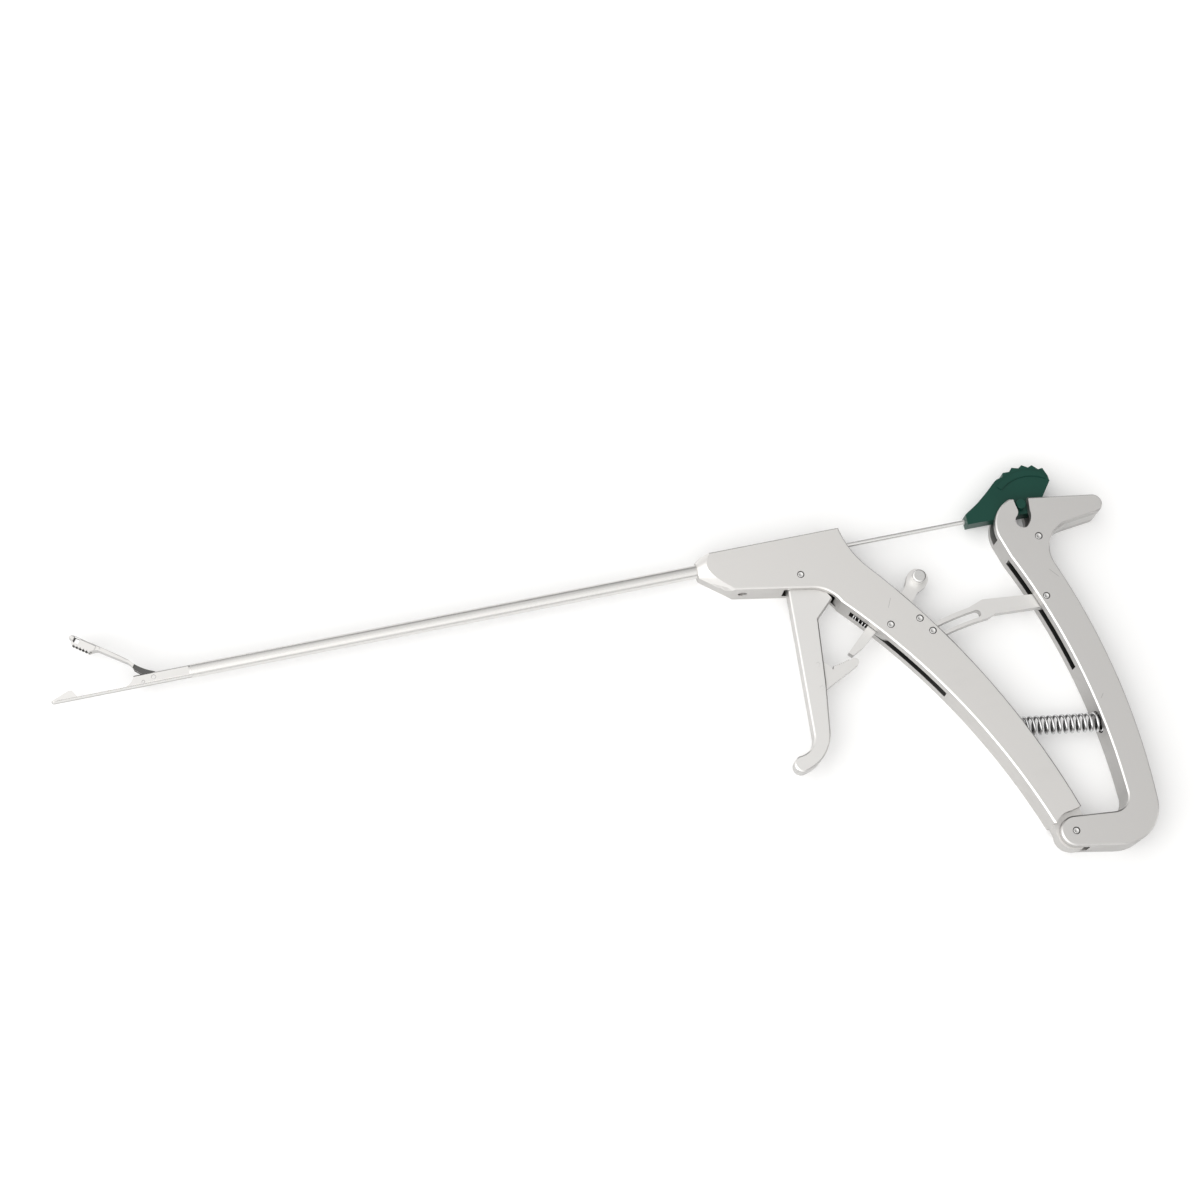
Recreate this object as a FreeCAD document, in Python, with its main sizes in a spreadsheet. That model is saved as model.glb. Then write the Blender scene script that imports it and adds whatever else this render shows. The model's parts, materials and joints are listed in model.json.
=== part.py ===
import FreeCAD, Part
import math
import os
import Sketcher

os.makedirs("parts", exist_ok=True)
doc = FreeCAD.newDocument("suture_grasper")

# Driving dimensions, in millimetres and degrees.
# The frame: X runs along the shaft towards the hand, Y up towards the open jaw,
# Z through the thickness, and the origin is on the shaft's axis where it enters the handle.
SIZES = [
    ("body_thickness", 11.0, "handle and rear lever, side to side"),
    ("edge_break", 0.45, "chamfer round every plate"),
    ("running_clearance", 0.05, "radial, between a pin and what turns on it"),
    ("side_clearance", 0.1, "each side, between a plate and the fork it moves in"),
    ("seat_clearance", 0.01, "radial, between parts that are fixed in each other"),
    ("shaft_diameter", 4.5, "outside of the tube"),
    ("shaft_bore", 3.9, "inside of the tube"),
    ("shaft_length", 168.5, "from the handle to the jaw housing"),
    ("shaft_seat_depth", 12.0, "tube inside the handle"),
    ("shaft_root_diameter", 4.85, "thicker root of the tube, inside the handle"),
    ("nose_radius", 3.3, "cone of the handle's nose where the tube enters"),
    ("nose_slope", 36.5, "half angle of that cone"),
    ("body_top", 4.0, "top edge of the handle above the shaft's axis"),
    ("body_rear", 49.5, "top rear corner of the handle"),
    ("needle_drop", 1.0, "needle axis below the shaft's axis"),
    ("needle_tube_diameter", 1.6, ""),
    ("wire_diameter", 1.1, "flexible front of the needle"),
    ("ferrule_diameter", 1.8, "crimp between the needle's tube and wire"),
    ("ferrule_length", 7.0, ""),
    ("ferrule_back", 27.3, "front of that crimp behind the tube's end, at rest"),
    ("needle_point", 18.0, "point of the needle ahead of the tube's end, at rest"),
    ("tab_front", 94.0, "front face of the tab with the lever at rest"),
    ("tab_thickness", 5.0, ""),
    ("tab_pin_back", 19.2, "tab's cross pin behind its front face"),
    ("tab_pin_rise", 1.0, "tab's cross pin above the needle's axis"),
    ("tab_pin_diameter", 3.4, ""),
    ("rod_rise", 1.0, "drive rod axis above the shaft's axis"),
    ("rod_diameter", 1.2, ""),
    ("trigger_pivot_x", 32.9, ""),
    ("trigger_pivot_y", -9.6, ""),
    ("trigger_pin_diameter", 2.4, ""),
    ("trigger_thickness", 6.0, ""),
    ("trigger_lean", 4.6, "degrees that the trigger's blade points forward"),
    ("trigger_reach", 65.75, "pivot to the lowest point of the hook"),
    ("hook_radius", 2.65, "round end of the hook"),
    ("hook_forward", 10.1, "centre of that round end ahead of the blade's middle"),
    ("trigger_travel", 14.0, "degrees"),
    ("trigger_arm", 4.11, "pivot to the drive pin"),
    ("drive_pin_diameter", 1.5, ""),
    ("block_thickness", 3.0, "drive block"),
    ("ratchet_radius", 31.95, "tips of the ratchet teeth about the trigger's pivot"),
    ("ratchet_thickness", 3.0, ""),
    ("tooth_angle", 1.2, "degrees from tooth to tooth"),
    ("tooth_depth", 0.45, ""),
    ("tooth_count", 9, ""),
    ("rivet_diameter", 1.4, ""),
    ("pawl_pivot_x", 57.9, ""),
    ("pawl_pivot_y", -32.5, ""),
    ("pawl_pin_diameter", 2.5, ""),
    ("pawl_thickness", 3.0, ""),
    ("pawl_hub_radius", 3.6, ""),
    ("thumb_reach", 20.6, "pawl pivot to the thumb button"),
    ("thumb_lean", 46.0, "degrees above the X axis"),
    ("thumb_eye_radius", 3.45, ""),
    ("button_diameter", 4.7, ""),
    ("button_length", 9.2, "disc to disc, through the pawl's eye"),
    ("slot_width", 3.7, "slots in the handle and lever that the pawl and link move in"),
    ("guide_pin_x", 71.1, "pin in the link's slot"),
    ("guide_pin_y", -37.4, ""),
    ("rest_pin_x", 68.0, "pin above the link"),
    ("rest_pin_y", -32.4, ""),
    ("guide_pin_diameter", 2.5, ""),
    ("foot_pivot_x", 98.5, "hinge of the rear lever on the handle"),
    ("foot_pivot_y", -112.2, ""),
    ("foot_pin_diameter", 2.4, ""),
    ("foot_radius", 4.9, "round end of the rear lever"),
    ("tongue_thickness", 5.2, "handle's end inside the rear lever's fork"),
    ("tongue_radius", 5.6, ""),
    ("step_radius", 6.7, "where the handle's full thickness stops, about the hinge"),
    ("lever_travel", 12.9, "degrees"),
    ("link_pivot_x", 112.1, "link's pin in the rear lever"),
    ("link_pivot_y", -33.4, ""),
    ("link_pin_diameter", 2.4, ""),
    ("link_thickness", 3.0, ""),
    ("link_half_width", 2.55, "bar of the link, half its height"),
    ("link_slope", 12.5, "degrees that the slotted half of the link slopes down"),
    ("link_turn_ratio", -0.1, "turn of the link on the lever for each degree of the lever"),
    ("link_slot_clearance", 0.08, "each side, between the guide pin and the link's slot"),
    ("head_pin_x", 115.6, "cross pin below the rear lever's fork"),
    ("head_pin_y", -12.5, ""),
    ("head_pin_diameter", 2.6, ""),
    ("fork_gap", 5.2, "rear lever's fork that takes the tab"),
    ("fork_depth", 11.2, "bottom of that fork below the tab's cross pin"),
    ("spring_left_x", 91.9, "return spring's seat in the handle"),
    ("spring_left_y", -73.8, ""),
    ("spring_right_x", 120.3, "return spring's seat in the lever"),
    ("spring_right_y", -78.1, ""),
    ("spring_radius", 2.85, "middle of the wire"),
    ("spring_wire", 0.95, ""),
    ("spring_turns", 14.0, ""),
    ("spring_pocket_radius", 3.7, ""),
    ("rod_spring_radius", 2.4, "spring round the drive rod and the needle"),
    ("rod_spring_wire", 0.5, ""),
    ("rod_spring_turns", 6.0, ""),
    ("rod_spring_bore", 3.0, "radius of its chamber in the handle"),
    ("pawl_spring_radius", 0.95, ""),
    ("pawl_spring_wire", 0.4, ""),
    ("pawl_spring_turns", 5.0, ""),
    ("jaw_pivot_back", 11.9, "jaw pivot ahead of the tube's end"),
    ("jaw_pivot_y", 0.0, ""),
    ("jaw_open_angle", 36.5, "degrees, at rest"),
    ("jaw_reach", 30.5, "jaw pivot to the jaw's tip"),
    ("jaw_arm", 1.6, "jaw pivot to its drive pin"),
    ("jaw_pin_diameter", 0.9, ""),
    ("jaw_pin_head", 1.5, ""),
    ("jaw_drive_pin_diameter", 0.6, ""),
    ("jaw_notch_clearance", 0.1, "each side of the drive pin in the rod's notch"),
    ("cheek_gap", 1.24, "between the upper jaw's two cheeks"),
    ("cheek_width", 2.04, "over the upper jaw's cheeks"),
    ("housing_gap", 2.2, "slot of the jaw housing"),
    ("housing_width", 3.3, "flat to flat"),
    ("housing_length", 18.6, "tube's end to the front of the housing's walls"),
    ("lower_jaw_reach", 45.2, "tube's end to the lower jaw's point"),
    ("jaw_tip_width", 3.4, "upper jaw's windowed tip"),
    ("jaw_beam_width", 2.9, "upper jaw behind the tip"),
    ("channel_width", 1.3, "groove that the needle's wire runs in"),
    ("channel_floor", -1.7, ""),
    ("trough_top", -1.5, "top of the lower jaw's tray"),
    ("jaw_shut_gap", 0.3, "between the shut jaw's teeth and the tray"),
    ("ramp_height", 1.1, "ridge of the lower jaw's ramp"),
    ("ramp_half_width", 0.97, ""),
    ("housing_step", 0.16, "radial, housing below the tube's surface"),
    ("jaw_step", 0.05, "radial, shut upper jaw below the tube's surface"),
    ("guide_stub_back", 15.35, "guide stud ahead of the tube's end"),
    ("guide_stub_y", -0.9, ""),
    ("guide_stub_diameter", 1.0, ""),
    ("spigot_length", 6.0, "jaw housing inside the tube"),
]

sheet = doc.addObject("Spreadsheet::Sheet", "sizes")
for row, (alias, value, meaning) in enumerate(SIZES, 1):
    sheet.set("A%d" % row, str(value))
    sheet.setAlias("A%d" % row, alias)
    sheet.set("B%d" % row, meaning)
doc.recompute()


class Size:
    """The sheet's cells as plain numbers."""

    def __getattr__(self, alias):
        return float(sheet.get(alias))


s = Size()


def at(x, y, z=0.0):
    return FreeCAD.Vector(x, y, z)


def polar(centre, radius, degrees):
    """A point at a radius and an angle from the X axis about a centre."""
    turn = math.radians(degrees)
    return (centre[0] + radius * math.cos(turn), centre[1] + radius * math.sin(turn))


def turned(point, centre, degrees):
    """A point turned about a centre."""
    c = math.cos(math.radians(degrees))
    k = math.sin(math.radians(degrees))
    dx = point[0] - centre[0]
    dy = point[1] - centre[1]
    return (centre[0] + c * dx - k * dy, centre[1] + k * dx + c * dy)


def tangent_arc(here, heading, there):
    """Middle and end of the arc that leaves a point along a direction and ends at another."""
    dx = there[0] - here[0]
    dy = there[1] - here[1]
    length = math.hypot(*heading)
    hx, hy = heading[0] / length, heading[1] / length
    nx, ny = -hy, hx
    radius = (dx * dx + dy * dy) / (2 * (dx * nx + dy * ny))
    cx, cy = here[0] + radius * nx, here[1] + radius * ny
    mx, my = (here[0] + there[0]) / 2 - cx, (here[1] + there[1]) / 2 - cy
    scale = abs(radius) / math.hypot(mx, my)
    return ((cx + mx * scale, cy + my * scale), there)


def touching(point, centre, radius, side):
    """Where the line from a point touches a circle, on the left (1) or the right (-1) of the way there."""
    far = math.dist(point, centre)
    toward = math.degrees(math.atan2(point[1] - centre[1], point[0] - centre[0]))
    return polar(centre, radius, toward - side * math.degrees(math.acos(radius / far)))


def arc_onto(here, heading, centre, radius, side, outside):
    """Middle and end of the arc that leaves a point along a direction and runs on into a circle.

    It bends left (1) or right (-1), and touches the circle from outside or from within.
    """
    length = math.hypot(*heading)
    nx, ny = -side * heading[1] / length, side * heading[0] / length
    vx, vy = here[0] - centre[0], here[1] - centre[1]
    sign = 1 if outside else -1
    bend = (vx * vx + vy * vy - radius * radius) / (2 * (sign * radius - vx * nx - vy * ny))
    mx, my = here[0] + bend * nx, here[1] + bend * ny
    far = math.dist((mx, my), centre)
    end = (mx + bend * (centre[0] - mx) / far, my + bend * (centre[1] - my) / far)
    px, py = (here[0] + end[0]) / 2 - mx, (here[1] + end[1]) / 2 - my
    out = bend / math.hypot(px, py)
    return ((mx + px * out, my + py * out), end)


def corner_arc(point, inward, line_point, line_up):
    """Middle and end of the arc that leaves a point square to a direction and touches a line."""
    height = (point[0] - line_point[0]) * line_up[0] + (point[1] - line_point[1]) * line_up[1]
    radius = height / (1 - inward[0] * line_up[0] - inward[1] * line_up[1])
    cx, cy = point[0] + radius * inward[0], point[1] + radius * inward[1]
    sx, sy = inward[0] + line_up[0], inward[1] + line_up[1]
    out = radius / math.hypot(sx, sy)
    return ((cx - sx * out, cy - sy * out), (cx - radius * line_up[0], cy - radius * line_up[1]))


def circle_through(a, b, c):
    """Centre and radius of the circle through three points."""
    circle = Part.Circle(at(*a), at(*b), at(*c))
    return (circle.Center.x, circle.Center.y), circle.Radius


def loop(start, *steps):
    """A closed outline: a step is the end of a line, or the middle and end of an arc."""
    edges = []
    here = start
    for step in steps:
        if isinstance(step[0], tuple):
            middle, there = step
            edges.append(Part.Arc(at(*here), at(*middle), at(*there)))
        else:
            there = step
            edges.append(Part.LineSegment(at(*here), at(*there)))
        here = there
    if math.dist(here, start) > 1e-7:
        edges.append(Part.LineSegment(at(*here), at(*start)))
    return edges


def box_outline(x0, y0, x1, y1):
    return loop((x0, y0), (x1, y0), (x1, y1), (x0, y1))


class Piece:
    """One sub-part: a body with sketches and features, sizes bound to the sheet."""

    def __init__(self, name):
        self.name = name
        self.body = doc.addObject("PartDesign::Body", name)
        self.body.Label = name
        self.count = 0

    def label(self, word):
        self.count += 1
        return "%s_%s_%d" % (self.name, word, self.count)

    def plane(self, role):
        return next(f for f in self.body.Origin.OriginFeatures if f.Role == role)

    def sketch(self, edges, role="XY_Plane", offset=None):
        sk = self.body.newObject("Sketcher::SketchObject", self.label("sketch"))
        sk.AttachmentSupport = [(self.plane(role), "")]
        sk.MapMode = "FlatFace"
        if offset is not None:
            sk.AttachmentOffset = offset
        if edges:
            sk.addGeometry(edges, False)
        return sk

    def circles(self, places, radius):
        """A sketch of round outlines whose centres and radius are cells or sums of cells."""
        sk = self.sketch([])
        for x, y in places:
            ring = Part.Circle(at(value(x), value(y)), at(0, 0, 1), value(radius))
            index = sk.addGeometry(ring, False)
            for kind, expression in (("DistanceX", x), ("DistanceY", y)):
                number = sk.addConstraint(Sketcher.Constraint(kind, -1, 1, index, 3, value(expression)))
                sk.setExpression("Constraints[%d]" % number, bound(expression))
            number = sk.addConstraint(Sketcher.Constraint("Radius", index, value(radius)))
            sk.setExpression("Constraints[%d]" % number, bound(radius))
        return sk

    def feature(self, kind, sketch):
        made = self.body.newObject("PartDesign::" + kind, self.label(kind.lower()))
        if sketch is not None:
            made.Profile = sketch
        return made

    def pad(self, sketch, thickness):
        """Material to both sides of the middle plane."""
        made = self.feature("Pad", sketch)
        made.SideType = "Symmetric"
        made.setExpression("Length", bound(thickness))
        doc.recompute()
        return made

    def cut(self, sketch, thickness):
        """A slot or hole to both sides of the middle plane."""
        made = self.feature("Pocket", sketch)
        made.SideType = "Symmetric"
        made.setExpression("Length", bound(thickness))
        doc.recompute()
        return made

    def recess(self, sketch, inner, outer):
        """The same recess in both side faces, from the inner to the outer distance."""
        for sign in (1, -1):
            made = self.feature("Pocket", sketch)
            made.SideType = "One side"
            made.Reversed = sign > 0
            made.setExpression("Length", bound(outer) + " - (" + bound(inner) + ")")
            sk = sketch if sign > 0 else self.copy_of(sketch)
            made.Profile = sk
            sk.AttachmentOffset = FreeCAD.Placement(at(0, 0, sign * value(inner)), FreeCAD.Rotation())
            sk.setExpression("AttachmentOffset.Base.z", "%d * (%s)" % (sign, bound(inner)))
            doc.recompute()

    def copy_of(self, sketch):
        sk = self.sketch(list(sketch.Geometry))
        return sk

    def bore(self, start, direction, radius, length):
        """A round hole from a point along a direction."""
        made = self.body.newObject("PartDesign::SubtractiveCylinder", self.label("bore"))
        made.MapMode = "Deactivated"
        made.Placement = FreeCAD.Placement(at(*start), FreeCAD.Rotation(at(0, 0, 1), at(*direction)))
        made.setExpression("Radius", bound(radius))
        made.setExpression("Height", bound(length))
        doc.recompute()
        return made

    def rod(self, start, direction, radius, length):
        """A round bar from a point along a direction."""
        made = self.body.newObject("PartDesign::AdditiveCylinder", self.label("rod"))
        made.MapMode = "Deactivated"
        made.Placement = FreeCAD.Placement(at(*start), FreeCAD.Rotation(at(0, 0, 1), at(*direction)))
        made.setExpression("Radius", bound(radius))
        made.setExpression("Height", bound(length))
        doc.recompute()
        return made

    def turn(self, edges, role="XY_Plane", axis="H_Axis", offset=None, cut=False):
        """A turned shape, or with cut a turned groove, about an axis of its sketch."""
        sk = self.sketch(edges, role, offset)
        made = self.feature("Groove" if cut else "Revolution", sk)
        made.ReferenceAxis = (sk, [axis])
        made.Angle = 360.0
        doc.recompute()
        return made

    def break_edges(self, thickness, size="edge_break", chosen=None):
        """Chamfers along the outline of both side faces."""
        base = self.body.Tip
        half = value(thickness) / 2
        names = []
        for number, edge in enumerate(base.Shape.Edges, 1):
            ends = edge.Vertexes
            flat = abs(ends[0].Z - ends[-1].Z) < 1e-6 and abs(abs(ends[0].Z) - half) < 1e-6
            if flat and (chosen is None or chosen(edge.CenterOfMass)):
                names.append("Edge%d" % number)
        made = self.body.newObject("PartDesign::Chamfer", self.label("chamfer"))
        made.Base = (base, names)
        made.setExpression("Size", bound(size))
        doc.recompute()
        return made


def bound(expression):
    """A cell's name, or a sum of cells, as an expression of the sheet."""
    words = str(expression).split()
    known = [alias for alias, _, _ in SIZES]
    return " ".join("sizes." + word if word in known else word for word in words)


def value(expression):
    """The number that such an expression stands for."""
    names = {alias: float(sheet.get(alias)) for alias, _, _ in SIZES}
    total = 0.0
    term = 0.0
    sign = "+"
    for word in str(expression).split():
        if word in ("+", "-", "*", "/"):
            sign = word
            continue
        number = names[word] if word in names else float(word)
        if sign == "*":
            term *= number
        elif sign == "/":
            term /= number
        else:
            total += term
            term = number if sign == "+" else -number
    return total + term


def on_cell(thing, path, expression):
    thing.setExpression(path, bound(expression))


def pin(name, x, y, diameter, length, break_size=0.2):
    """A straight pin along Z with its ends chamfered, centred on the middle plane."""
    piece = Piece(name)
    r = value(diameter) / 2
    h = value(length) / 2
    edges = loop((0, -h), (r - break_size, -h), (r, -h + break_size),
                 (r, h - break_size), (r - break_size, h), (0, h))
    piece.turn(edges, "XZ_Plane", "V_Axis")
    on_cell(piece.body, "Placement.Base.x", x)
    on_cell(piece.body, "Placement.Base.y", y)
    return piece


# Places that several pieces share.
half = s.body_thickness / 2
trigger_pivot = (s.trigger_pivot_x, s.trigger_pivot_y)
pawl_pivot = (s.pawl_pivot_x, s.pawl_pivot_y)
foot_pivot = (s.foot_pivot_x, s.foot_pivot_y)
link_pivot = (s.link_pivot_x, s.link_pivot_y)
guide_pin = (s.guide_pin_x, s.guide_pin_y)
jaw_pivot = (-s.shaft_length - s.jaw_pivot_back, s.jaw_pivot_y)
needle_y = -s.needle_drop
rod_y = s.rod_rise
tip_x = -s.shaft_length - s.lower_jaw_reach
housing_radius = s.shaft_diameter / 2 - s.housing_step
half_swing = s.trigger_travel / 2
drive_pin = polar(trigger_pivot, s.trigger_arm, 90 - half_swing)
rod_travel = 2 * s.trigger_arm * math.sin(math.radians(half_swing))
jaw_pin_open = polar(jaw_pivot, s.jaw_arm, 90 - s.jaw_open_angle / 2)
jaw_pin_closed = polar(jaw_pivot, s.jaw_arm, 90 + s.jaw_open_angle / 2)
tab_pin = (s.tab_front + s.tab_pin_back, s.tab_pin_rise - s.needle_drop)
ferrule_front = -s.shaft_length + s.ferrule_back
needle_tip = -s.shaft_length - s.needle_point

# The return spring's axis, from its seat in the handle to its seat in the rear lever.
spring_start = (s.spring_left_x, s.spring_left_y)
spring_end = (s.spring_right_x, s.spring_right_y)
spring_length = math.dist(spring_start, spring_end)
spring_way = ((spring_end[0] - spring_start[0]) / spring_length,
              (spring_end[1] - spring_start[1]) / spring_length)


def body_outline():
    """Side view of the handle: nose, gun-shaped body and the curved front grip with its tongue."""
    fx, fy = foot_pivot
    top = s.body_top
    rear = s.body_rear
    return loop(
        (0.0, s.nose_radius - 0.3), ((2.6, top - 0.2), (6.0, top)), (rear, top),
        ((rear + 2.2, top - 8.2), (rear + 6.5, top - 15.5)),
        ((fx - 15.2, fy + 58.0), (fx + 4.1, fy + 7.2)),
        (fx + s.tongue_radius, fy),
        ((fx, fy - s.tongue_radius), (fx - s.tongue_radius, fy)),
        (fx - 6.1, fy + 3.7),
        ((fx - 25.6, fy + 49.9), (44.0, -21.5)),
        (tangent_arc((35.5, -14.7), (26.0, -4.6), (44.0, -21.5))[0], (35.5, -14.7)),
        (9.5, -10.1), (7.2, -9.0), (0.0, -s.nose_radius + 0.2))


def make_body():
    piece = Piece("body_frame")
    piece.pad(piece.sketch(body_outline()), "body_thickness")
    # The tongue that the rear lever's fork closes on.
    foot = foot_pivot
    fx, fy = foot_pivot
    r = s.step_radius
    step = loop(
        polar(foot, r, 146), (polar(foot, r, 118), polar(foot, r, 88)), (fx + 14.0, fy + 9.8),
        (fx + 14.0, fy - 12.0), (fx - 14.0, fy - 12.0), (fx - 14.0, fy + 6.6))
    piece.recess(piece.sketch(step), "tongue_thickness / 2", "body_thickness / 2 + 1")
    piece.break_edges("body_thickness", chosen=lambda c: math.dist((c.x, c.y), foot) > 11 and c.x > 1)
    # The nose is turned to a cone, so the flat sides run out in a curve.
    rise = math.tan(math.radians(s.nose_slope))
    cone_end = 12.0
    wide = s.nose_radius + rise * cone_end
    outside = loop((-1.0, s.nose_radius - rise), (cone_end, wide), (cone_end, wide + 12), (-1.0, wide + 12))
    lowered = FreeCAD.Placement(at(0, -0.5, 0), FreeCAD.Rotation())
    piece.turn(outside, offset=lowered, cut=True)
    # The seat of the tube, the spring's chamber and the needle's way out.
    piece.bore((-1, 0, 0), (1, 0, 0), "shaft_root_diameter / 2 + seat_clearance", "shaft_seat_depth + 1")
    chamber_start = s.shaft_seat_depth + 1.0
    chamber_end = 27.6
    piece.bore((chamber_start, 0, 0), (1, 0, 0), "rod_spring_bore", chamber_end - chamber_start)
    piece.bore((s.shaft_seat_depth - 1, rod_y, 0), (1, 0, 0), "rod_diameter / 2 + running_clearance * 2", 3)
    needle_way = "needle_tube_diameter / 2 + running_clearance * 4"
    piece.bore((s.shaft_seat_depth - 1, needle_y, 0), (1, 0, 0), needle_way, 60)
    # The room for the drive block and, below it, for the trigger.
    block_room = box_outline(25.5, -2.9, 40.5, 2.7)
    piece.cut(piece.sketch(block_room), "block_thickness + side_clearance * 4")
    px, py = trigger_pivot
    sweep = 13.6
    trigger_room = loop(
        (px - 6.3, -18.0), (px - 6.3, -2.6), (px - 5.2, -1.5), (px + 5.6, -1.5),
        (px + 9.5, -6.5), (polar(trigger_pivot, sweep, -22), polar(trigger_pivot, sweep, -42)),
        (px + 12.6, -27.0), (px, -27.0))
    piece.cut(piece.sketch(trigger_room), "trigger_thickness + side_clearance * 2")
    # The narrow slots for the pawl and the link, open at the front and the rear edge.
    slots = loop(
        (44.0, -27.0), (47.2, -24.2), ((48.2, -22.9), (49.7, -23.6)), (52.3, -26.8),
        (60.0, -26.0), (67.5, -13.0), (77.0, -22.5), (69.0, -29.8), (78.0, -29.0), (81.0, -42.0),
        (74.0, -42.5), (67.0, -46.5), (71.2, -56.2), ((70.9, -58.3), (69.0, -58.0)), (62.0, -60.0))
    piece.cut(piece.sketch(slots), "slot_width")
    # The return spring's pocket in the rear edge.
    back = 0.4
    seat = (spring_start[0] - back * spring_way[0], spring_start[1] - back * spring_way[1], 0)
    piece.bore(seat, (spring_way[0], spring_way[1], 0), "spring_pocket_radius", 12)
    # The flushing port in the lower edge.
    piece.bore((13.3, -14.0, 0), (0, 1, 0), 1.5, 6.0)
    # The pins' holes.
    cuts = [
        ("trigger_pivot_x", "trigger_pivot_y", "trigger_pin_diameter"),
        ("pawl_pivot_x", "pawl_pivot_y", "pawl_pin_diameter"),
        ("guide_pin_x", "guide_pin_y", "guide_pin_diameter"),
        ("rest_pin_x", "rest_pin_y", "guide_pin_diameter"),
        ("foot_pivot_x", "foot_pivot_y", "foot_pin_diameter"),
    ]
    for x, y, diameter in cuts:
        piece.cut(piece.circles([(x, y)], diameter + " / 2 + seat_clearance"), "body_thickness + 2")
    return piece


def make_shaft():
    """The tube, with a thicker root that seats in the handle."""
    piece = Piece("shaft_tube")
    r0 = s.shaft_bore / 2
    r1 = s.shaft_diameter / 2
    root = s.shaft_root_diameter / 2
    piece.turn(loop((-s.shaft_length, r0), (-s.shaft_length, r1 - 0.1), (-s.shaft_length + 0.1, r1),
                    (0, r1), (0, root), (s.shaft_seat_depth, root), (s.shaft_seat_depth, r0)))
    return piece


def make_lower_jaw():
    """Housing with flat sides, the tray of the lower jaw and its pointed ramp."""
    piece = Piece("lower_jaw")
    front = -s.shaft_length - s.housing_length
    x0 = -s.shaft_length
    r = housing_radius
    spigot_radius = s.shaft_bore / 2 - s.seat_clearance
    piece.turn(loop((tip_x, 0), (tip_x, r), (x0, r), (x0, spigot_radius),
                    (x0 + s.spigot_length, spigot_radius), (x0 + s.spigot_length, 0)))
    flats = box_outline(tip_x - 1, -r - 1, x0 - 0.6, r + 1)
    piece.recess(piece.sketch(flats), "housing_width / 2", "shaft_diameter")
    # Side view: everything above the tray, with the ramp left standing behind the point.
    top = s.trough_top
    ridge = s.ramp_height
    above = loop(
        (tip_x - 1, r + 1), (tip_x - 1, top + 0.1), (tip_x, top + 0.1), (tip_x + 6.2, ridge),
        (tip_x + 7.2, ridge - 0.12), (tip_x + 8.7, top), (front - 2.4, top),
        ((front - 0.7, top + 1.0), (front + 0.5, 1.6)), (front + 0.9, r + 1))
    piece.cut(piece.sketch(above), "shaft_diameter * 2")
    # The ramp is narrower than the tray, so the upper jaw's window passes over it.
    beside = loop((tip_x - 1, top), (tip_x + 9.0, top), (tip_x + 9.4, r + 1), (tip_x - 1, r + 1))
    piece.recess(piece.sketch(beside), "ramp_half_width", "shaft_diameter")
    # Seen from above the tray runs out to a rounded bow.
    half_bow = 0.8
    wide = s.housing_width / 2
    for sign in (1, -1):
        bow = loop((tip_x - 1, sign * half_bow), (tip_x, sign * half_bow),
                   ((tip_x + 1.7, sign * (wide - 0.28)), (tip_x + 4.6, sign * (wide + 0.01))),
                   (tip_x + 4.6, sign * 4), (tip_x - 1, sign * 4))
        made = piece.feature("Pocket", piece.sketch(bow, "XZ_Plane"))
        made.SideType = "Symmetric"
        made.Length = 20.0
        doc.recompute()
    piece.turn(loop((tip_x - 0.2, 1.2), (tip_x + 0.9, r + 0.05), (tip_x - 0.2, r + 0.05)), cut=True)
    # The slot of the housing, the needle's groove and the channel through the spigot.
    slot = box_outline(front - 3, s.channel_floor, x0 - 0.8, r + 1)
    piece.cut(piece.sketch(slot), "housing_gap")
    groove = box_outline(tip_x - 1, s.channel_floor, x0 + 1, r + 1)
    piece.cut(piece.sketch(groove), "channel_width")
    spigot = box_outline(x0, -r - 1, x0 + s.spigot_length + 1, needle_y)
    piece.cut(piece.sketch(spigot), "ferrule_diameter + running_clearance * 4")
    start = x0 - 1
    ferrule_way = "ferrule_diameter / 2 + running_clearance * 2"
    piece.bore((start, needle_y, 0), (1, 0, 0), ferrule_way, "spigot_length + 2")
    rod_way = "rod_diameter / 2 + running_clearance * 2"
    piece.bore((start, rod_y, 0), (1, 0, 0), rod_way, "spigot_length + 2")
    pivot = piece.circles([("0 - shaft_length - jaw_pivot_back", "jaw_pivot_y")],
                          "jaw_pin_head / 2 + seat_clearance")
    piece.cut(pivot, "shaft_diameter * 2")
    stud = (x0 - s.guide_stub_back, s.guide_stub_y, s.housing_gap / 2 - 0.2)
    piece.bore(stud, (0, 0, 1), "guide_stub_diameter / 2 + seat_clearance", 3)
    return piece


def make_jaw_pin(name, side):
    """A stepped stud in one wall of the housing; the two leave the needle's way open between them."""
    piece = Piece(name)
    wall = s.housing_width / 2
    inner = s.housing_gap / 2
    end = s.cheek_gap / 2
    shank = s.jaw_pin_diameter / 2
    head = s.jaw_pin_head / 2
    profile = [(0, end), (shank, end), (shank, inner), (head, inner),
               (head, wall - 0.1), (head - 0.1, wall), (0, wall)]
    points = [(x, side * z) for x, z in profile]
    piece.turn(loop(*points), "XZ_Plane", "V_Axis")
    on_cell(piece.body, "Placement.Base.x", "0 - shaft_length - jaw_pivot_back")
    on_cell(piece.body, "Placement.Base.y", "jaw_pivot_y")
    return piece


def make_guide_stud():
    """A plain stud in the housing's near wall, level with the needle's way."""
    piece = Piece("slide_guide_pin")
    r = s.guide_stub_diameter / 2
    inner = s.housing_gap / 2
    wall = s.housing_width / 2
    outline = loop((0, inner), (r, inner), (r, wall - 0.1), (r - 0.1, wall), (0, wall))
    piece.turn(outline, "XZ_Plane", "V_Axis")
    on_cell(piece.body, "Placement.Base.x", "0 - shaft_length - guide_stub_back")
    on_cell(piece.body, "Placement.Base.y", "guide_stub_y")
    return piece


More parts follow.
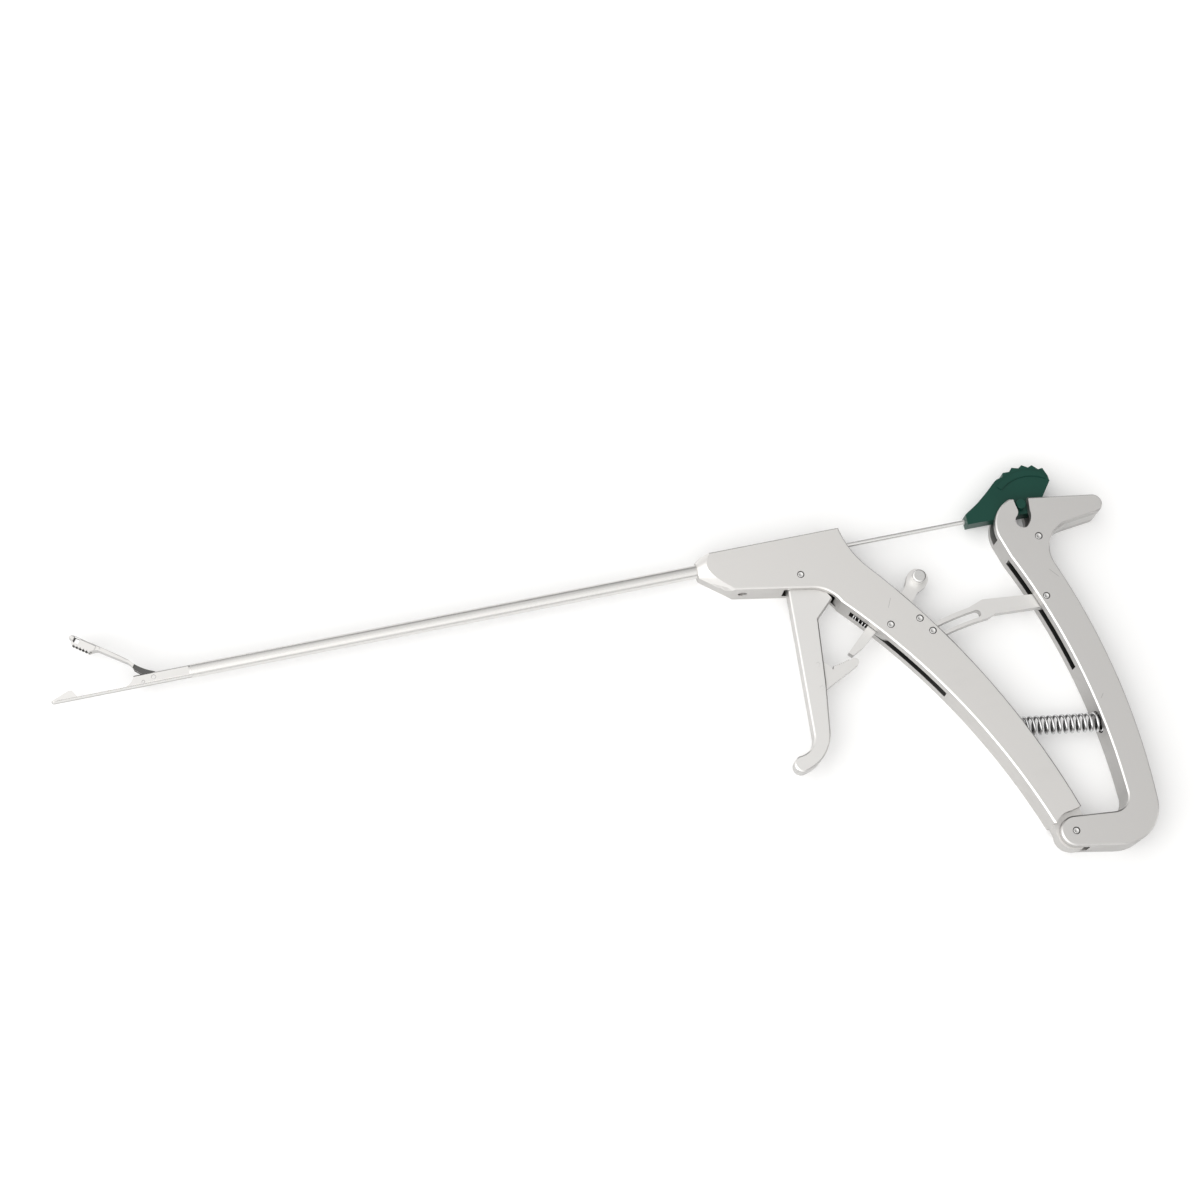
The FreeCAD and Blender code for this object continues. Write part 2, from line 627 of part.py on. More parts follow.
def make_upper_jaw():
    """Drawn shut on the lower jaw, cut to the tube's outline, then turned open about its pivot."""
    px, py = jaw_pivot
    tip = px - s.jaw_reach
    low = s.trough_top + s.jaw_shut_gap
    r = s.shaft_diameter / 2 - s.jaw_step
    piece = Piece("jaw_shape")
    arm = jaw_pin_closed
    root = 0.85
    boss = 0.55
    side = loop(
        (tip, 0.5), (tip + 1.25, 0.5), (tip + 1.6, low + 0.2), (tip + 1.9, low), (tip + 8.0, low),
        ((tip + 8.8, low + 0.9), (tip + 10.4, 0.62)), (px - 10.2, 0.85),
        ((px - 8.2, 0.5), (px - 6.9, py - 0.35)), (px - 0.4, py - root),
        ((px + 0.6, py - 0.61), (px + root, py)), (arm[0] + boss, arm[1] - 0.1),
        (polar(arm, boss, 40), (arm[0], arm[1] + boss)), ((px - 4.2, 1.35), (px - 10.1, 1.85)),
        (tip + 13.0, r), (tip + 5.0, r), ((tip + 1.6, r - 0.1), (tip + 0.5, 1.6)), (tip, 1.15))
    piece.pad(piece.sketch(side), "jaw_tip_width")
    beam = box_outline(tip + 9.2, py - 4, px + 6, r + 2)
    piece.recess(piece.sketch(beam), "jaw_beam_width / 2", 3.0)
    # The cheeks stand between the housing's walls.
    narrow = box_outline(px - 7.6, py - 4, px + 6, r + 2)
    piece.recess(piece.sketch(narrow), "cheek_width / 2", 3.0)
    # The gap between the cheeks, where the needle and the drive rod pass.
    between = loop((px - 8.4, py - 4), (px - 7.6, 0.15), (px - 3.2, 0.15), (px - 2.6, r + 1),
                   (px + 6, r + 1), (px + 6, py - 4))
    piece.cut(piece.sketch(between), "cheek_gap")
    # The window that the needle and the ramp come up through.
    window = piece.sketch(box_outline(tip + 1.2, -1.05, tip + 7.4, 1.05), "XZ_Plane")
    made = piece.feature("Pocket", window)
    made.SideType = "Symmetric"
    made.Length = 20.0
    doc.recompute()
    # The needle's wire passes under the heel of the teeth in a groove.
    heel = box_outline(tip + 7.0, low - 1, tip + 10.6, needle_y + s.wire_diameter / 2 + 0.15)
    piece.cut(piece.sketch(heel), "channel_width")
    # A square port in each side rail, a groove along the beam and a row of fine teeth.
    port = box_outline(tip + 1.5, -0.35, tip + 3.7, 1.75)
    piece.recess(piece.sketch(port), 0.5, 3.0)
    groove = loop((tip + 10.6, 1.1), (px - 10.6, 1.2), ((px - 10.2, 1.42), (px - 10.6, 1.62)),
                  (tip + 11.0, 1.9), ((tip + 10.4, 1.5), (tip + 10.6, 1.1)))
    piece.recess(piece.sketch(groove), "jaw_beam_width / 2 - 0.25", 3.0)
    for number in range(5):
        x = tip + 2.3 + 1.15 * number
        tooth = loop((x, low - 0.1), (x + 0.35, low + 0.45), (x + 0.7, low - 0.1))
        piece.cut(piece.sketch(tooth), 6)
    doc.recompute()
    trim = doc.addObject("Part::Cylinder", "jaw_envelope")
    trim.Height = 60
    trim.Placement = FreeCAD.Placement(at(tip - 5, 0, 0), FreeCAD.Rotation(at(0, 0, 1), at(1, 0, 0)))
    on_cell(trim, "Radius", "shaft_diameter / 2 - jaw_step")
    shut = doc.addObject("Part::Common", "jaw_shut")
    shut.Base = piece.body
    shut.Tool = trim
    holes = []
    for centre, diameter in ((jaw_pivot, "jaw_pin_diameter / 2 + running_clearance"),
                             (jaw_pin_closed, "jaw_drive_pin_diameter / 2 + seat_clearance")):
        hole = doc.addObject("Part::Cylinder", "jaw_hole_%d" % len(holes))
        hole.Height = 8
        hole.Placement = FreeCAD.Placement(at(centre[0], centre[1], -4), FreeCAD.Rotation())
        on_cell(hole, "Radius", diameter)
        holes.append(hole)
    both = doc.addObject("Part::MultiFuse", "jaw_holes")
    both.Shapes = holes
    jaw = doc.addObject("Part::Cut", "upper_jaw")
    jaw.Label = "upper_jaw"
    jaw.Base = shut
    jaw.Tool = both
    opening = FreeCAD.Rotation(at(0, 0, 1), -s.jaw_open_angle)
    centre = at(*jaw_pivot)
    jaw.Placement = FreeCAD.Placement(centre - opening.multVec(centre), opening)
    doc.recompute()
    return jaw


def make_drive_rod():
    """Round rod in the tube, and in the housing a flat blade with an upright notch for the jaw's pin."""
    piece = Piece("drive_rod")
    start = -s.shaft_length - 2.0
    end = 32.0
    piece.rod((start, rod_y, 0), (1, 0, 0), "rod_diameter / 2", end - start)
    x, y = jaw_pin_open
    pin_radius = s.jaw_drive_pin_diameter / 2
    gap = pin_radius + s.jaw_notch_clearance
    front = x - gap - 0.6
    top = 1.95
    low = 0.35
    floor = y - pin_radius - 0.15
    blade = loop(
        (start + 1.0, low), (start + 1.0, top - 0.35), (start - 0.5, top), (x + gap, top), (x + gap, floor),
        (x - gap, floor), (x - gap, top), (front + 0.2, top), (front, top - 0.2), (front, low + 0.2),
        (front + 0.2, low))
    piece.pad(piece.sketch(blade), "cheek_gap - side_clearance * 1.4")
    return piece


def make_drive_block():
    piece = Piece("drive_block")
    x, y = drive_pin
    front = 27.2
    rear = 37.8
    outline = loop(
        (front, -2.45), (x - 2.3, -2.45), (x - 2.3, y - 1.5), (x + 2.3, y - 1.5), (x + 2.3, -2.45),
        (rear, -2.45), (rear, 2.0), (rear - 0.4, 2.4), (front, 2.4))
    piece.pad(piece.sketch(outline), "block_thickness")
    # The collar that the spring pushes on.
    piece.rod((front - 1.2, 0, 0), (1, 0, 0), "rod_spring_bore - 0.25", 1.6)
    needle_way = "needle_tube_diameter / 2 + running_clearance * 4"
    piece.bore((front - 2, needle_y, 0), (1, 0, 0), needle_way, 14)
    piece.bore((front - 2, rod_y, 0), (1, 0, 0), "rod_diameter / 2 + seat_clearance", 32.0 - front + 2)
    gap = s.drive_pin_diameter / 2 + s.running_clearance
    slot = loop(
        (x - gap, y - 3), (x + gap, y - 3), (x + gap, y + 0.1), ((x, y + 0.1 + gap), (x - gap, y + 0.1)))
    piece.cut(piece.sketch(slot), "block_thickness + 2")
    return piece


def along_trigger(u, w):
    """A point of the trigger: u down its blade from the pivot, w towards the hand."""
    lean = math.radians(s.trigger_lean)
    return (trigger_pivot[0] - u * math.sin(lean) + w * math.cos(lean),
            trigger_pivot[1] - u * math.cos(lean) - w * math.sin(lean))


def make_trigger():
    a = along_trigger
    piece = Piece("trigger")
    boss = 1.45
    # The front and the back of the blade bend forward and run into the hook's round end.
    lobe = s.hook_radius
    deep = s.trigger_reach - lobe
    hook = a(deep, -s.hook_forward)
    front_top, front_low = a(4.0, -4.5), a(54.0, -4.75)
    back_top, back_low = a(36.7, 2.4), a(53.5, 0.75)
    down = (front_low[0] - front_top[0], front_low[1] - front_top[1])
    inner = arc_onto(front_low, down, hook, lobe, -1, True)
    down = (back_low[0] - back_top[0], back_low[1] - back_top[1])
    outer = arc_onto(back_low, down, hook, lobe, -1, False)
    outline = loop(
        front_top, front_low, inner, (a(deep, -s.hook_forward - lobe), outer[1]), (outer[0], back_low),
        back_top, a(19.0, 3.4), a(15.2, 3.6), a(8.8, 9.5),
        a(1.5, 4.9), a(-2.0, 3.6), (drive_pin[0] + boss, drive_pin[1]),
        ((drive_pin[0], drive_pin[1] + boss), (drive_pin[0] - boss, drive_pin[1])),
        a(-3.0, -3.6), a(0.0, -4.6))
    piece.pad(piece.sketch(outline), "trigger_thickness")
    visible = lambda c: math.dist((c.x, c.y), trigger_pivot) > 11.0
    piece.break_edges("trigger_thickness", chosen=visible)
    # The fork over the drive block, with a rounded floor below the block's tongue.
    x, y = drive_pin
    fork = loop((x - 6.5, y - 2.2), (x + 6.5, y - 2.2), (x + 6.5, y + 3), (x - 6.5, y + 3))
    piece.cut(piece.sketch(fork), "block_thickness + side_clearance * 3")
    # The slot that holds the ratchet arm.
    slot = loop(a(28.7, -1.25), a(40.5, -1.25), a(40.5, 8.0), a(28.7, 8.0))
    piece.cut(piece.sketch(slot), "ratchet_thickness + seat_clearance * 2")
    pivot = piece.circles([("trigger_pivot_x", "trigger_pivot_y")],
                          "trigger_pin_diameter / 2 + running_clearance")
    piece.cut(pivot, "trigger_thickness + 2")
    holes = ((drive_pin, "drive_pin_diameter"), (a(30.7, 0.6), "rivet_diameter"),
             (a(38.8, 0.6), "rivet_diameter"))
    for centre, diameter in holes:
        piece.bore((centre[0], centre[1], -5), (0, 0, 1), diameter + " / 2 + seat_clearance", 10)
    return piece


def ratchet_point(radius, degrees):
    """A point about the trigger's pivot, its angle from straight down towards the hand."""
    return polar(trigger_pivot, radius, degrees - 90)


def make_ratchet_arm():
    a = along_trigger
    piece = Piece("ratchet_arm")
    r = s.ratchet_radius
    deep = r + s.tooth_depth
    first = 6.5
    steps = [a(28.75, 2.2), ratchet_point(31.0, 3.6), ratchet_point(deep + 0.7, 4.9),
             ratchet_point(deep + 0.7, 5.6)]
    for number in range(int(s.tooth_count)):
        start = first + number * s.tooth_angle
        steps.append(ratchet_point(deep, start))
        steps.append(ratchet_point(r, start + 0.1 * s.tooth_angle))
        steps.append(ratchet_point(r, start + 0.25 * s.tooth_angle))
    last = first + s.tooth_count * s.tooth_angle
    steps.append(ratchet_point(deep, last))
    nose = 1.35
    centre = ratchet_point(deep + nose, 19.0)
    steps.append(polar(centre, nose, 109))
    steps.append((polar(centre, nose, 15), polar(centre, nose, -62)))
    steps.append((trigger_pivot[0] - 0.3, trigger_pivot[1] - 38.9))
    steps.append(a(40.45, 1.2))
    steps.append(a(40.45, -1.2))
    piece.pad(piece.sketch(loop(a(28.75, -1.2), *steps)), "ratchet_thickness")
    for centre in (a(30.7, 0.6), a(38.8, 0.6)):
        piece.bore((centre[0], centre[1], -5), (0, 0, 1), "rivet_diameter / 2 + seat_clearance", 10)
    return piece


def make_pawl():
    piece = Piece("pawl_lever")
    px, py = pawl_pivot
    hub = s.pawl_hub_radius
    lean = s.thumb_lean
    eye = polar(pawl_pivot, s.thumb_reach, lean)
    side = 2.4
    er = s.thumb_eye_radius

    def stem(reach, across):
        along = polar(pawl_pivot, reach, lean)
        return polar(along, across, lean + 90)

    def rel(dx, dy):
        return (px + dx, py + dy)

    outline = loop(
        rel(-4.5, -0.4), rel(-10.4, -5.0), rel(-13.2, -6.35), rel(-14.1, -6.85), rel(-15.3, -5.5),
        rel(-6.7, 2.1), rel(-4.4, 3.4), stem(2.6, hub + 0.4), (stem(4.6, side + 0.45), stem(8.0, side)),
        stem(s.thumb_reach - 4.4, side - 0.1),
        (stem(s.thumb_reach - 3.0, er - 0.6), stem(s.thumb_reach - 0.8, er)),
        (stem(s.thumb_reach + er, 0), stem(s.thumb_reach - 0.8, -er)),
        (stem(s.thumb_reach - 3.0, -er + 0.6), stem(s.thumb_reach - 4.4, -side + 0.1)), stem(5.4, -side),
        (stem(3.6, -side - 0.5), polar(pawl_pivot, hub, lean - 75)),
        (polar(pawl_pivot, hub, -70), polar(pawl_pivot, hub, -130)))
    piece.pad(piece.sketch(outline), "pawl_thickness")
    pivot = piece.circles([("pawl_pivot_x", "pawl_pivot_y")], "pawl_pin_diameter / 2 + running_clearance")
    piece.cut(pivot, 10)
    piece.bore((eye[0], eye[1], -5), (0, 0, 1), "button_diameter / 2 - 0.45", 10)
    return piece


def make_button():
    """A spool through the pawl's eye, with a disc on each side."""
    piece = Piece("thumb_button")
    r = s.button_diameter / 2
    neck = r - 0.45 - s.seat_clearance
    h = s.button_length / 2
    plate = s.pawl_thickness / 2 + s.seat_clearance
    piece.turn(loop(
        (0, -h), (r - 0.6, -h), ((r - 0.18, -h + 0.18), (r, -h + 0.6)), (r, -plate), (neck, -plate),
        (neck, plate), (r, plate), (r, h - 0.6), ((r - 0.18, h - 0.18), (r - 0.6, h)), (0, h)),
        "XZ_Plane", "V_Axis")
    lean = math.radians(s.thumb_lean)
    on_cell(piece.body, "Placement.Base.x", "pawl_pivot_x + thumb_reach * %.6f" % math.cos(lean))
    on_cell(piece.body, "Placement.Base.y", "pawl_pivot_y + thumb_reach * %.6f" % math.sin(lean))
    return piece


def make_lever():
    piece = Piece("rear_lever")
    fx, fy = foot_pivot
    fr = s.foot_radius
    crotch = (fx + 14.45, fy + 3.44)
    heel = (fx + 15.0, fy - 7.9)
    over = touching(crotch, foot_pivot, fr, -1)
    under = touching(heel, foot_pivot, fr, 1)
    # The window's lower corner runs from the inner edge's long arc into the bar above the foot.
    inner = (fx + 20.4, fy + 8.6)
    inner_start, inner_mid = (104.2, -17.5), (115.4, -57.0)
    bulge, inner_radius = circle_through(inner_start, inner_mid, inner)
    inward = ((bulge[0] - inner[0]) / inner_radius, (bulge[1] - inner[1]) / inner_radius)
    run = math.dist(over, crotch)
    upward = ((over[1] - crotch[1]) / run, (crotch[0] - over[0]) / run)
    bend = corner_arc(inner, inward, crotch, upward)
    # The heel's round corner touches the bottom line and runs on into the back's long arc.
    back = ((fx + 29.6, fy + 4.5), (127.4, -65.0), (118.6, -23.5))
    middle, long_radius = circle_through(*back)
    nx = (back[0][0] - middle[0]) / long_radius
    ny = (back[0][1] - middle[1]) / long_radius
    run = math.dist(under, heel)
    mx = (under[1] - heel[1]) / run
    my = (heel[0] - under[0]) / run
    height = (back[0][0] - under[0]) * mx + (back[0][1] - under[1]) * my
    corner = height / (1 + nx * mx + ny * my)
    cx = back[0][0] - corner * nx
    cy = back[0][1] - corner * ny
    low = (cx - corner * mx, cy - corner * my)
    half_way = math.hypot(nx - mx, ny - my)
    turn = (cx + corner * (nx - mx) / half_way, cy + corner * (ny - my) / half_way)
    outline = loop(
        (109.5, 2.3), ((103.4, -2.8), (102.2, -10.0)), inner_start, (inner_mid, inner),
        bend, over, ((fx - fr, fy), under), low, (turn, back[0]), (back[1], back[2]),
        ((119.75, -13.75), (127.0, -9.35)), (137.7, -8.05), ((140.6, -4.85), (137.8, -1.64)), (116.0, 1.6))
    piece.pad(piece.sketch(outline), "body_thickness")
    piece.break_edges("body_thickness")
    foot = foot_pivot
    # The fork at the top that takes the needle's tab.
    r = math.dist(tab_pin, foot) - s.fork_depth
    fork = loop(polar(foot, r, 105), (polar(foot, r, 85), polar(foot, r, 64)),
                (fx + 60, fy + 130), (fx - 40, fy + 130))
    piece.cut(piece.sketch(fork), "fork_gap")
    # The hook-shaped slot in the fork's cheeks that catches the tab's cross pin.
    catch = loop(
        (110.6, 4.0), (110.8, 1.0), (111.15, -1.8), ((111.0, -3.2), (109.9, -4.5)),
        ((110.1, -7.9), (112.6, -8.6)), ((114.6, -6.4), (115.3, -3.0)), (115.9, 1.0), (116.1, 4.0))
    piece.cut(piece.sketch(catch), "body_thickness + 2")
    # The fork at the foot that closes on the handle's tongue.
    gap = polar(foot, 6.9, 30)
    clevis = loop(
        gap, (polar(foot, 6.9, 0), polar(foot, 6.9, -62)), (fx + 3.2, fy - 14), (fx - 12, fy - 14),
        (fx - 12, fy + 12), (fx + 7.2, fy + 12))
    piece.cut(piece.sketch(clevis), "tongue_thickness + side_clearance * 2")
    # The long slot in the front edge that the link folds into.
    trough = loop(
        (95.0, -17.0), (106.9, -17.9), ((109.9, -18.9), (111.6, -21.5)), (117.3, -36.0), (120.6, -54.5),
        ((120.3, -57.0), (117.8, -58.2)), (100.0, -60.0))
    piece.cut(piece.sketch(trough), "slot_width")
    # The return spring's seat.
    floor = (spring_end[0] + 0.3 * spring_way[0], spring_end[1] + 0.3 * spring_way[1], 0)
    piece.bore(floor, (-spring_way[0], -spring_way[1], 0), "spring_pocket_radius", 12)
    cuts = [
        ("foot_pivot_x", "foot_pivot_y", "foot_pin_diameter / 2 + running_clearance"),
        ("link_pivot_x", "link_pivot_y", "link_pin_diameter / 2 + seat_clearance"),
        ("head_pin_x", "head_pin_y", "head_pin_diameter / 2 + seat_clearance"),
    ]
    for x, y, radius in cuts:
        piece.cut(piece.circles([(x, y)], radius), "body_thickness + 2")
    return piece


def guide_in_link(degrees):
    """Where the guide pin stands in the resting link once the lever has turned."""
    moved = turned(link_pivot, foot_pivot, degrees)
    turn = degrees * (1 + s.link_turn_ratio)
    back = turned((guide_pin[0] - moved[0], guide_pin[1] - moved[1]), (0, 0), -turn)
    return (link_pivot[0] + back[0], link_pivot[1] + back[1])


def make_link():
    piece = Piece("slotted_link")
    first = guide_in_link(0)
    middle = guide_in_link(s.lever_travel / 2)
    last = guide_in_link(s.lever_travel)
    centre, radius = circle_through(first, middle, last)

    def angle_of(point):
        return math.degrees(math.atan2(point[1] - centre[1], point[0] - centre[0]))

    a0, am, a1 = angle_of(first), angle_of(middle), angle_of(last)
    outward = 1 if centre[1] < first[1] else -1
    per_mm = math.degrees(1 / radius) * (1 if a0 > a1 else -1)
    past = 1.7

    def beside(angle, offset):
        return polar(centre, radius + outward * offset, angle)

    up = 2.9
    down = 2.5
    end = a0 + per_mm * past
    ex, ey = link_pivot
    outline = loop(
        beside(end, up), (beside(am, up), beside(a1 + per_mm * 2.0, up)), (91.6, -29.2), (109.0, -30.9),
        ((ex + 3.0, ey + 0.5), (ex - 2.0, ey - 2.3)), (94.5, -34.9), beside(a1 - per_mm * 3.5, -down),
        (beside(am, -down), beside(end, -down)), (beside(end + per_mm * 1.6, 0.2), beside(end, up)))
    piece.pad(piece.sketch(outline), "link_thickness")
    gap = s.guide_pin_diameter / 2 + s.link_slot_clearance
    slot = loop(
        beside(a0, gap), (beside(am, gap), beside(a1, gap)), (beside(a1 - per_mm * gap, 0), beside(a1, -gap)),
        (beside(am, -gap), beside(a0, -gap)), (beside(a0 + per_mm * gap, 0), beside(a0, gap)))
    piece.cut(piece.sketch(slot), "link_thickness + 2")
    pivot = piece.circles([("link_pivot_x", "link_pivot_y")], "link_pin_diameter / 2 + running_clearance")
    piece.cut(pivot, 8)
    return piece


def make_coil(name, start, way, radius, wire, turns, length):
    """A wire wound about its own Z, then laid from a point along a direction.

    The wire has six sides, which keeps the long coil light.
    """
    piece = Piece(name)
    middle = (value(radius), value(wire) / 2)
    corners = [polar(middle, value(wire) / 2, 60 * number + 30) for number in range(6)]
    sk = piece.sketch(loop(*corners), "XZ_Plane")
    made = piece.feature("AdditiveHelix", sk)
    made.ReferenceAxis = (sk, ["V_Axis"])
    made.Mode = 2
    made.Height = length - value(wire)
    on_cell(made, "Turns", turns)
    doc.recompute()
    piece.body.Placement = FreeCAD.Placement(at(*start), FreeCAD.Rotation(at(0, 0, 1), at(*way)))
    return piece


def make_tab():
    """Thin moulded tab with a serrated thumb edge, on the end of the needle."""
    piece = Piece("needle_tab")
    x0 = s.tab_front
    y0 = needle_y
    peaks = [(14.2, 11.9), (17.0, 13.8), (20.5, 15.0), (24.1, 15.3), (27.6, 14.6), (31.0, 12.9)]
    steps = [(x0 + 0.2, y0 + 1.8), (x0 + 5.0, y0 + 4.7), (x0 + 9.5, y0 + 8.1), (x0 + 13.1, y0 + 11.2)]
    for number, (x, y) in enumerate(peaks):
        steps.append((x0 + x, y0 + y))
        if number + 1 < len(peaks):
            nx, ny = peaks[number + 1]
            mx, my = (x + nx) / 2, (y + ny) / 2
            inward = (18.0 - mx, 2.0 - my)
            far = math.hypot(*inward)
            steps.append((x0 + nx - 0.55 * (nx - mx) + 0.9 * inward[0] / far,
                          y0 + ny - 0.55 * (ny - my) + 0.9 * inward[1] / far))
    steps += [(x0 + 32.0, y0 + 9.9), (x0 + 32.1, y0 + 7.9), (x0 + 24.3, y0 - 2.0)]
    piece.pad(piece.sketch(loop((x0, y0 - 1.9), *steps)), "tab_thickness")
    rim = loop(
        (x0 + 13.4, y0 + 9.3), ((x0 + 20.5, y0 + 13.0), (x0 + 30.7, y0 + 10.9)), (x0 + 30.9, y0 + 8.9),
        ((x0 + 21.5, y0 + 10.9), (x0 + 14.8, y0 + 7.9)))
    piece.pad(piece.sketch(rim), "tab_thickness + 0.8")
    piece.bore((x0 - 1, y0, 0), (1, 0, 0), "needle_tube_diameter / 2 + seat_clearance", 13)
    pin_hole = piece.circles([("tab_front + tab_pin_back", "tab_pin_rise - needle_drop")],
                             "tab_pin_diameter / 2 + seat_clearance")
    piece.cut(pin_hole, 10)
    return piece


def make_needle_rod():
    piece = Piece("needle_rod")
    rear = s.tab_front + 12.0
    joint = ferrule_front
    neck = joint + 4.0
    r = s.needle_tube_diameter / 2
    lifted = FreeCAD.Placement(at(0, needle_y, 0), FreeCAD.Rotation())
    shoulder = joint + s.ferrule_length
    outline = loop((neck, 0), (neck, 0.6), (shoulder, 0.6), (shoulder, r), (rear, r), (rear, 0))
    piece.turn(outline, offset=lifted)
    return piece


def make_ferrule():
    piece = Piece("needle_ferrule")
    x0 = ferrule_front
    x1 = x0 + s.ferrule_length
    r = s.ferrule_diameter / 2
    wire = s.wire_diameter / 2 + s.seat_clearance
    neck = 0.6 + s.seat_clearance
    lifted = FreeCAD.Placement(at(0, needle_y, 0), FreeCAD.Rotation())
    piece.turn(loop(
        (x0, wire), (x0, r - 0.15), (x0 + 0.15, r), (x0 + 1.6, r), (x0 + 1.9, r - 0.12), (x0 + 2.5, r - 0.12),
        (x0 + 2.8, r), (x1 - 0.15, r), (x1, r - 0.15), (x1, neck), (x0 + 3.9, neck), (x0 + 3.9, 0),
        (x0 + 3.1, 0), (x0 + 3.1, wire)), offset=lifted)
    return piece


def make_wire():
    """The flexible front of the needle, ground to a point."""
    piece = Piece("needle_wire")
    tip = needle_tip
    r = s.wire_diameter / 2
    lifted = FreeCAD.Placement(at(0, needle_y, 0), FreeCAD.Rotation())
    end = ferrule_front + 3.0
    piece.turn(loop((tip, 0), (tip, 0.08), (tip + 2.4, r), (end, r), (end, 0)), offset=lifted)
    # The sloping notch behind the point that carries the thread.
    notch = loop((tip + 3.0, r + 1), (tip + 3.3, 0.08), (tip + 3.9, 0.08), (tip + 5.4, r + 1))
    sk = piece.sketch(notch, offset=FreeCAD.Placement(at(0, needle_y, 0), FreeCAD.Rotation()))
    piece.cut(sk, 4)
    return piece


make_body()
make_shaft()
make_lower_jaw()
make_jaw_pin("jaw_pivot_pin_left", 1)
make_jaw_pin("jaw_pivot_pin_right", -1)
make_guide_stud()
make_upper_jaw()
make_drive_rod()
make_drive_block()
make_trigger()
make_ratchet_arm()
make_pawl()
make_button()
make_lever()
make_link()
make_tab()
make_needle_rod()
make_ferrule()
make_wire()
pin("trigger_pivot_pin", "trigger_pivot_x", "trigger_pivot_y", "trigger_pin_diameter", "body_thickness")
pin("pawl_pivot_pin", "pawl_pivot_x", "pawl_pivot_y", "pawl_pin_diameter", "body_thickness")
pin("link_slot_pin", "guide_pin_x", "guide_pin_y", "guide_pin_diameter", "body_thickness")
pin("link_rest_pin", "rest_pin_x", "rest_pin_y", "guide_pin_diameter", "body_thickness")
pin("handle_pivot_pin", "foot_pivot_x", "foot_pivot_y", "foot_pin_diameter", "body_thickness")
pin("head_cross_pin", "head_pin_x", "head_pin_y", "head_pin_diameter", "body_thickness")
pin("link_pivot_pin", "link_pivot_x", "link_pivot_y", "link_pin_diameter", "body_thickness")
pin("tab_cross_pin", "tab_front + tab_pin_back", "tab_pin_rise - needle_drop", "tab_pin_diameter",
    "body_thickness - 1")
arm_x = "trigger_pivot_x + trigger_arm * %.7f" % math.sin(math.radians(half_swing))
arm_y = "trigger_pivot_y + trigger_arm * %.7f" % math.cos(math.radians(half_swing))
pin("trigger_drive_pin", arm_x, arm_y, "drive_pin_diameter", "trigger_thickness")
opened = math.radians(90 - s.jaw_open_angle / 2)
arm_x = "0 - shaft_length - jaw_pivot_back + jaw_arm * %.7f" % math.cos(opened)
arm_y = "jaw_pivot_y + jaw_arm * %.7f" % math.sin(opened)
pin("jaw_drive_pin", arm_x, arm_y, "jaw_drive_pin_diameter", "housing_gap - side_clearance * 3", 0.06)
for name, u in (("ratchet_rivet_upper", 30.7), ("ratchet_rivet_lower", 38.8)):
    place = along_trigger(u, 0.6)
    pin(name, "%.6f" % place[0], "%.6f" % place[1], "rivet_diameter", "trigger_thickness", 0.03)

flat_way = (spring_way[0], spring_way[1], 0)
make_coil("handle_return_spring", (spring_start[0], spring_start[1], 0), flat_way,
          "spring_radius", "spring_wire", "spring_turns", spring_length)
chamber_x = s.shaft_seat_depth + 1.05
make_coil("drive_return_spring", (chamber_x, 0, 0), (1, 0, 0),
          "rod_spring_radius", "rod_spring_wire", "rod_spring_turns", 25.95 - chamber_x)
pawl_from = (47.9, -25.4)
pawl_to = (51.2, -29.9)
pawl_length = math.dist(pawl_from, pawl_to)
pawl_way = ((pawl_to[0] - pawl_from[0]) / pawl_length, (pawl_to[1] - pawl_from[1]) / pawl_length, 0)
make_coil("pawl_spring", (pawl_from[0], pawl_from[1], 0), pawl_way,
          "pawl_spring_radius", "pawl_spring_wire", "pawl_spring_turns", pawl_length)
doc.recompute()

NODES = [
    "body_frame", "shaft_tube", "lower_jaw", "jaw_pivot_pin_left", "jaw_pivot_pin_right", "slide_guide_pin",
    "upper_jaw", "jaw_drive_pin", "drive_rod", "drive_block", "drive_return_spring",
    "trigger", "trigger_pivot_pin", "trigger_drive_pin",
    "ratchet_arm", "ratchet_rivet_upper", "ratchet_rivet_lower",
    "pawl_lever", "pawl_pivot_pin", "thumb_button", "pawl_spring",
    "rear_lever", "handle_pivot_pin", "head_cross_pin", "link_pivot_pin",
    "slotted_link", "link_slot_pin", "link_rest_pin", "handle_return_spring",
    "needle_tab", "tab_cross_pin", "needle_rod", "needle_ferrule", "needle_wire",
]

for thing in doc.Objects:
    wrong = [word for word in thing.State if word in ("Invalid", "Error")]
    if wrong:
        raise RuntimeError("%s: %s" % (thing.Label, wrong))

for node in NODES:
    thing = doc.getObjectsByLabel(node)[0]
    shape = thing.Shape
    if shape.isNull() or not shape.isValid() or len(shape.Solids) != 1:
        raise RuntimeError("%s is not one sound solid: %d" % (node, len(shape.Solids)))
    shape.exportStep("parts/%s.step" % node)
    print(node, "%.1f mm3" % shape.Volume)
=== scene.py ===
# %% [markdown]
# Suture grasper: the looks
#
# This script dresses the imported CAD model of a suture grasper and sets a camera over it lying on
# white.
# It goes in steps: load the model, place the camera, light the table, make the finishes,
# put them on, and add the springs, the pins' peened ends and the thumb rest's web.

import json
import math

import bpy
import bmesh
from mathutils import Matrix, Vector


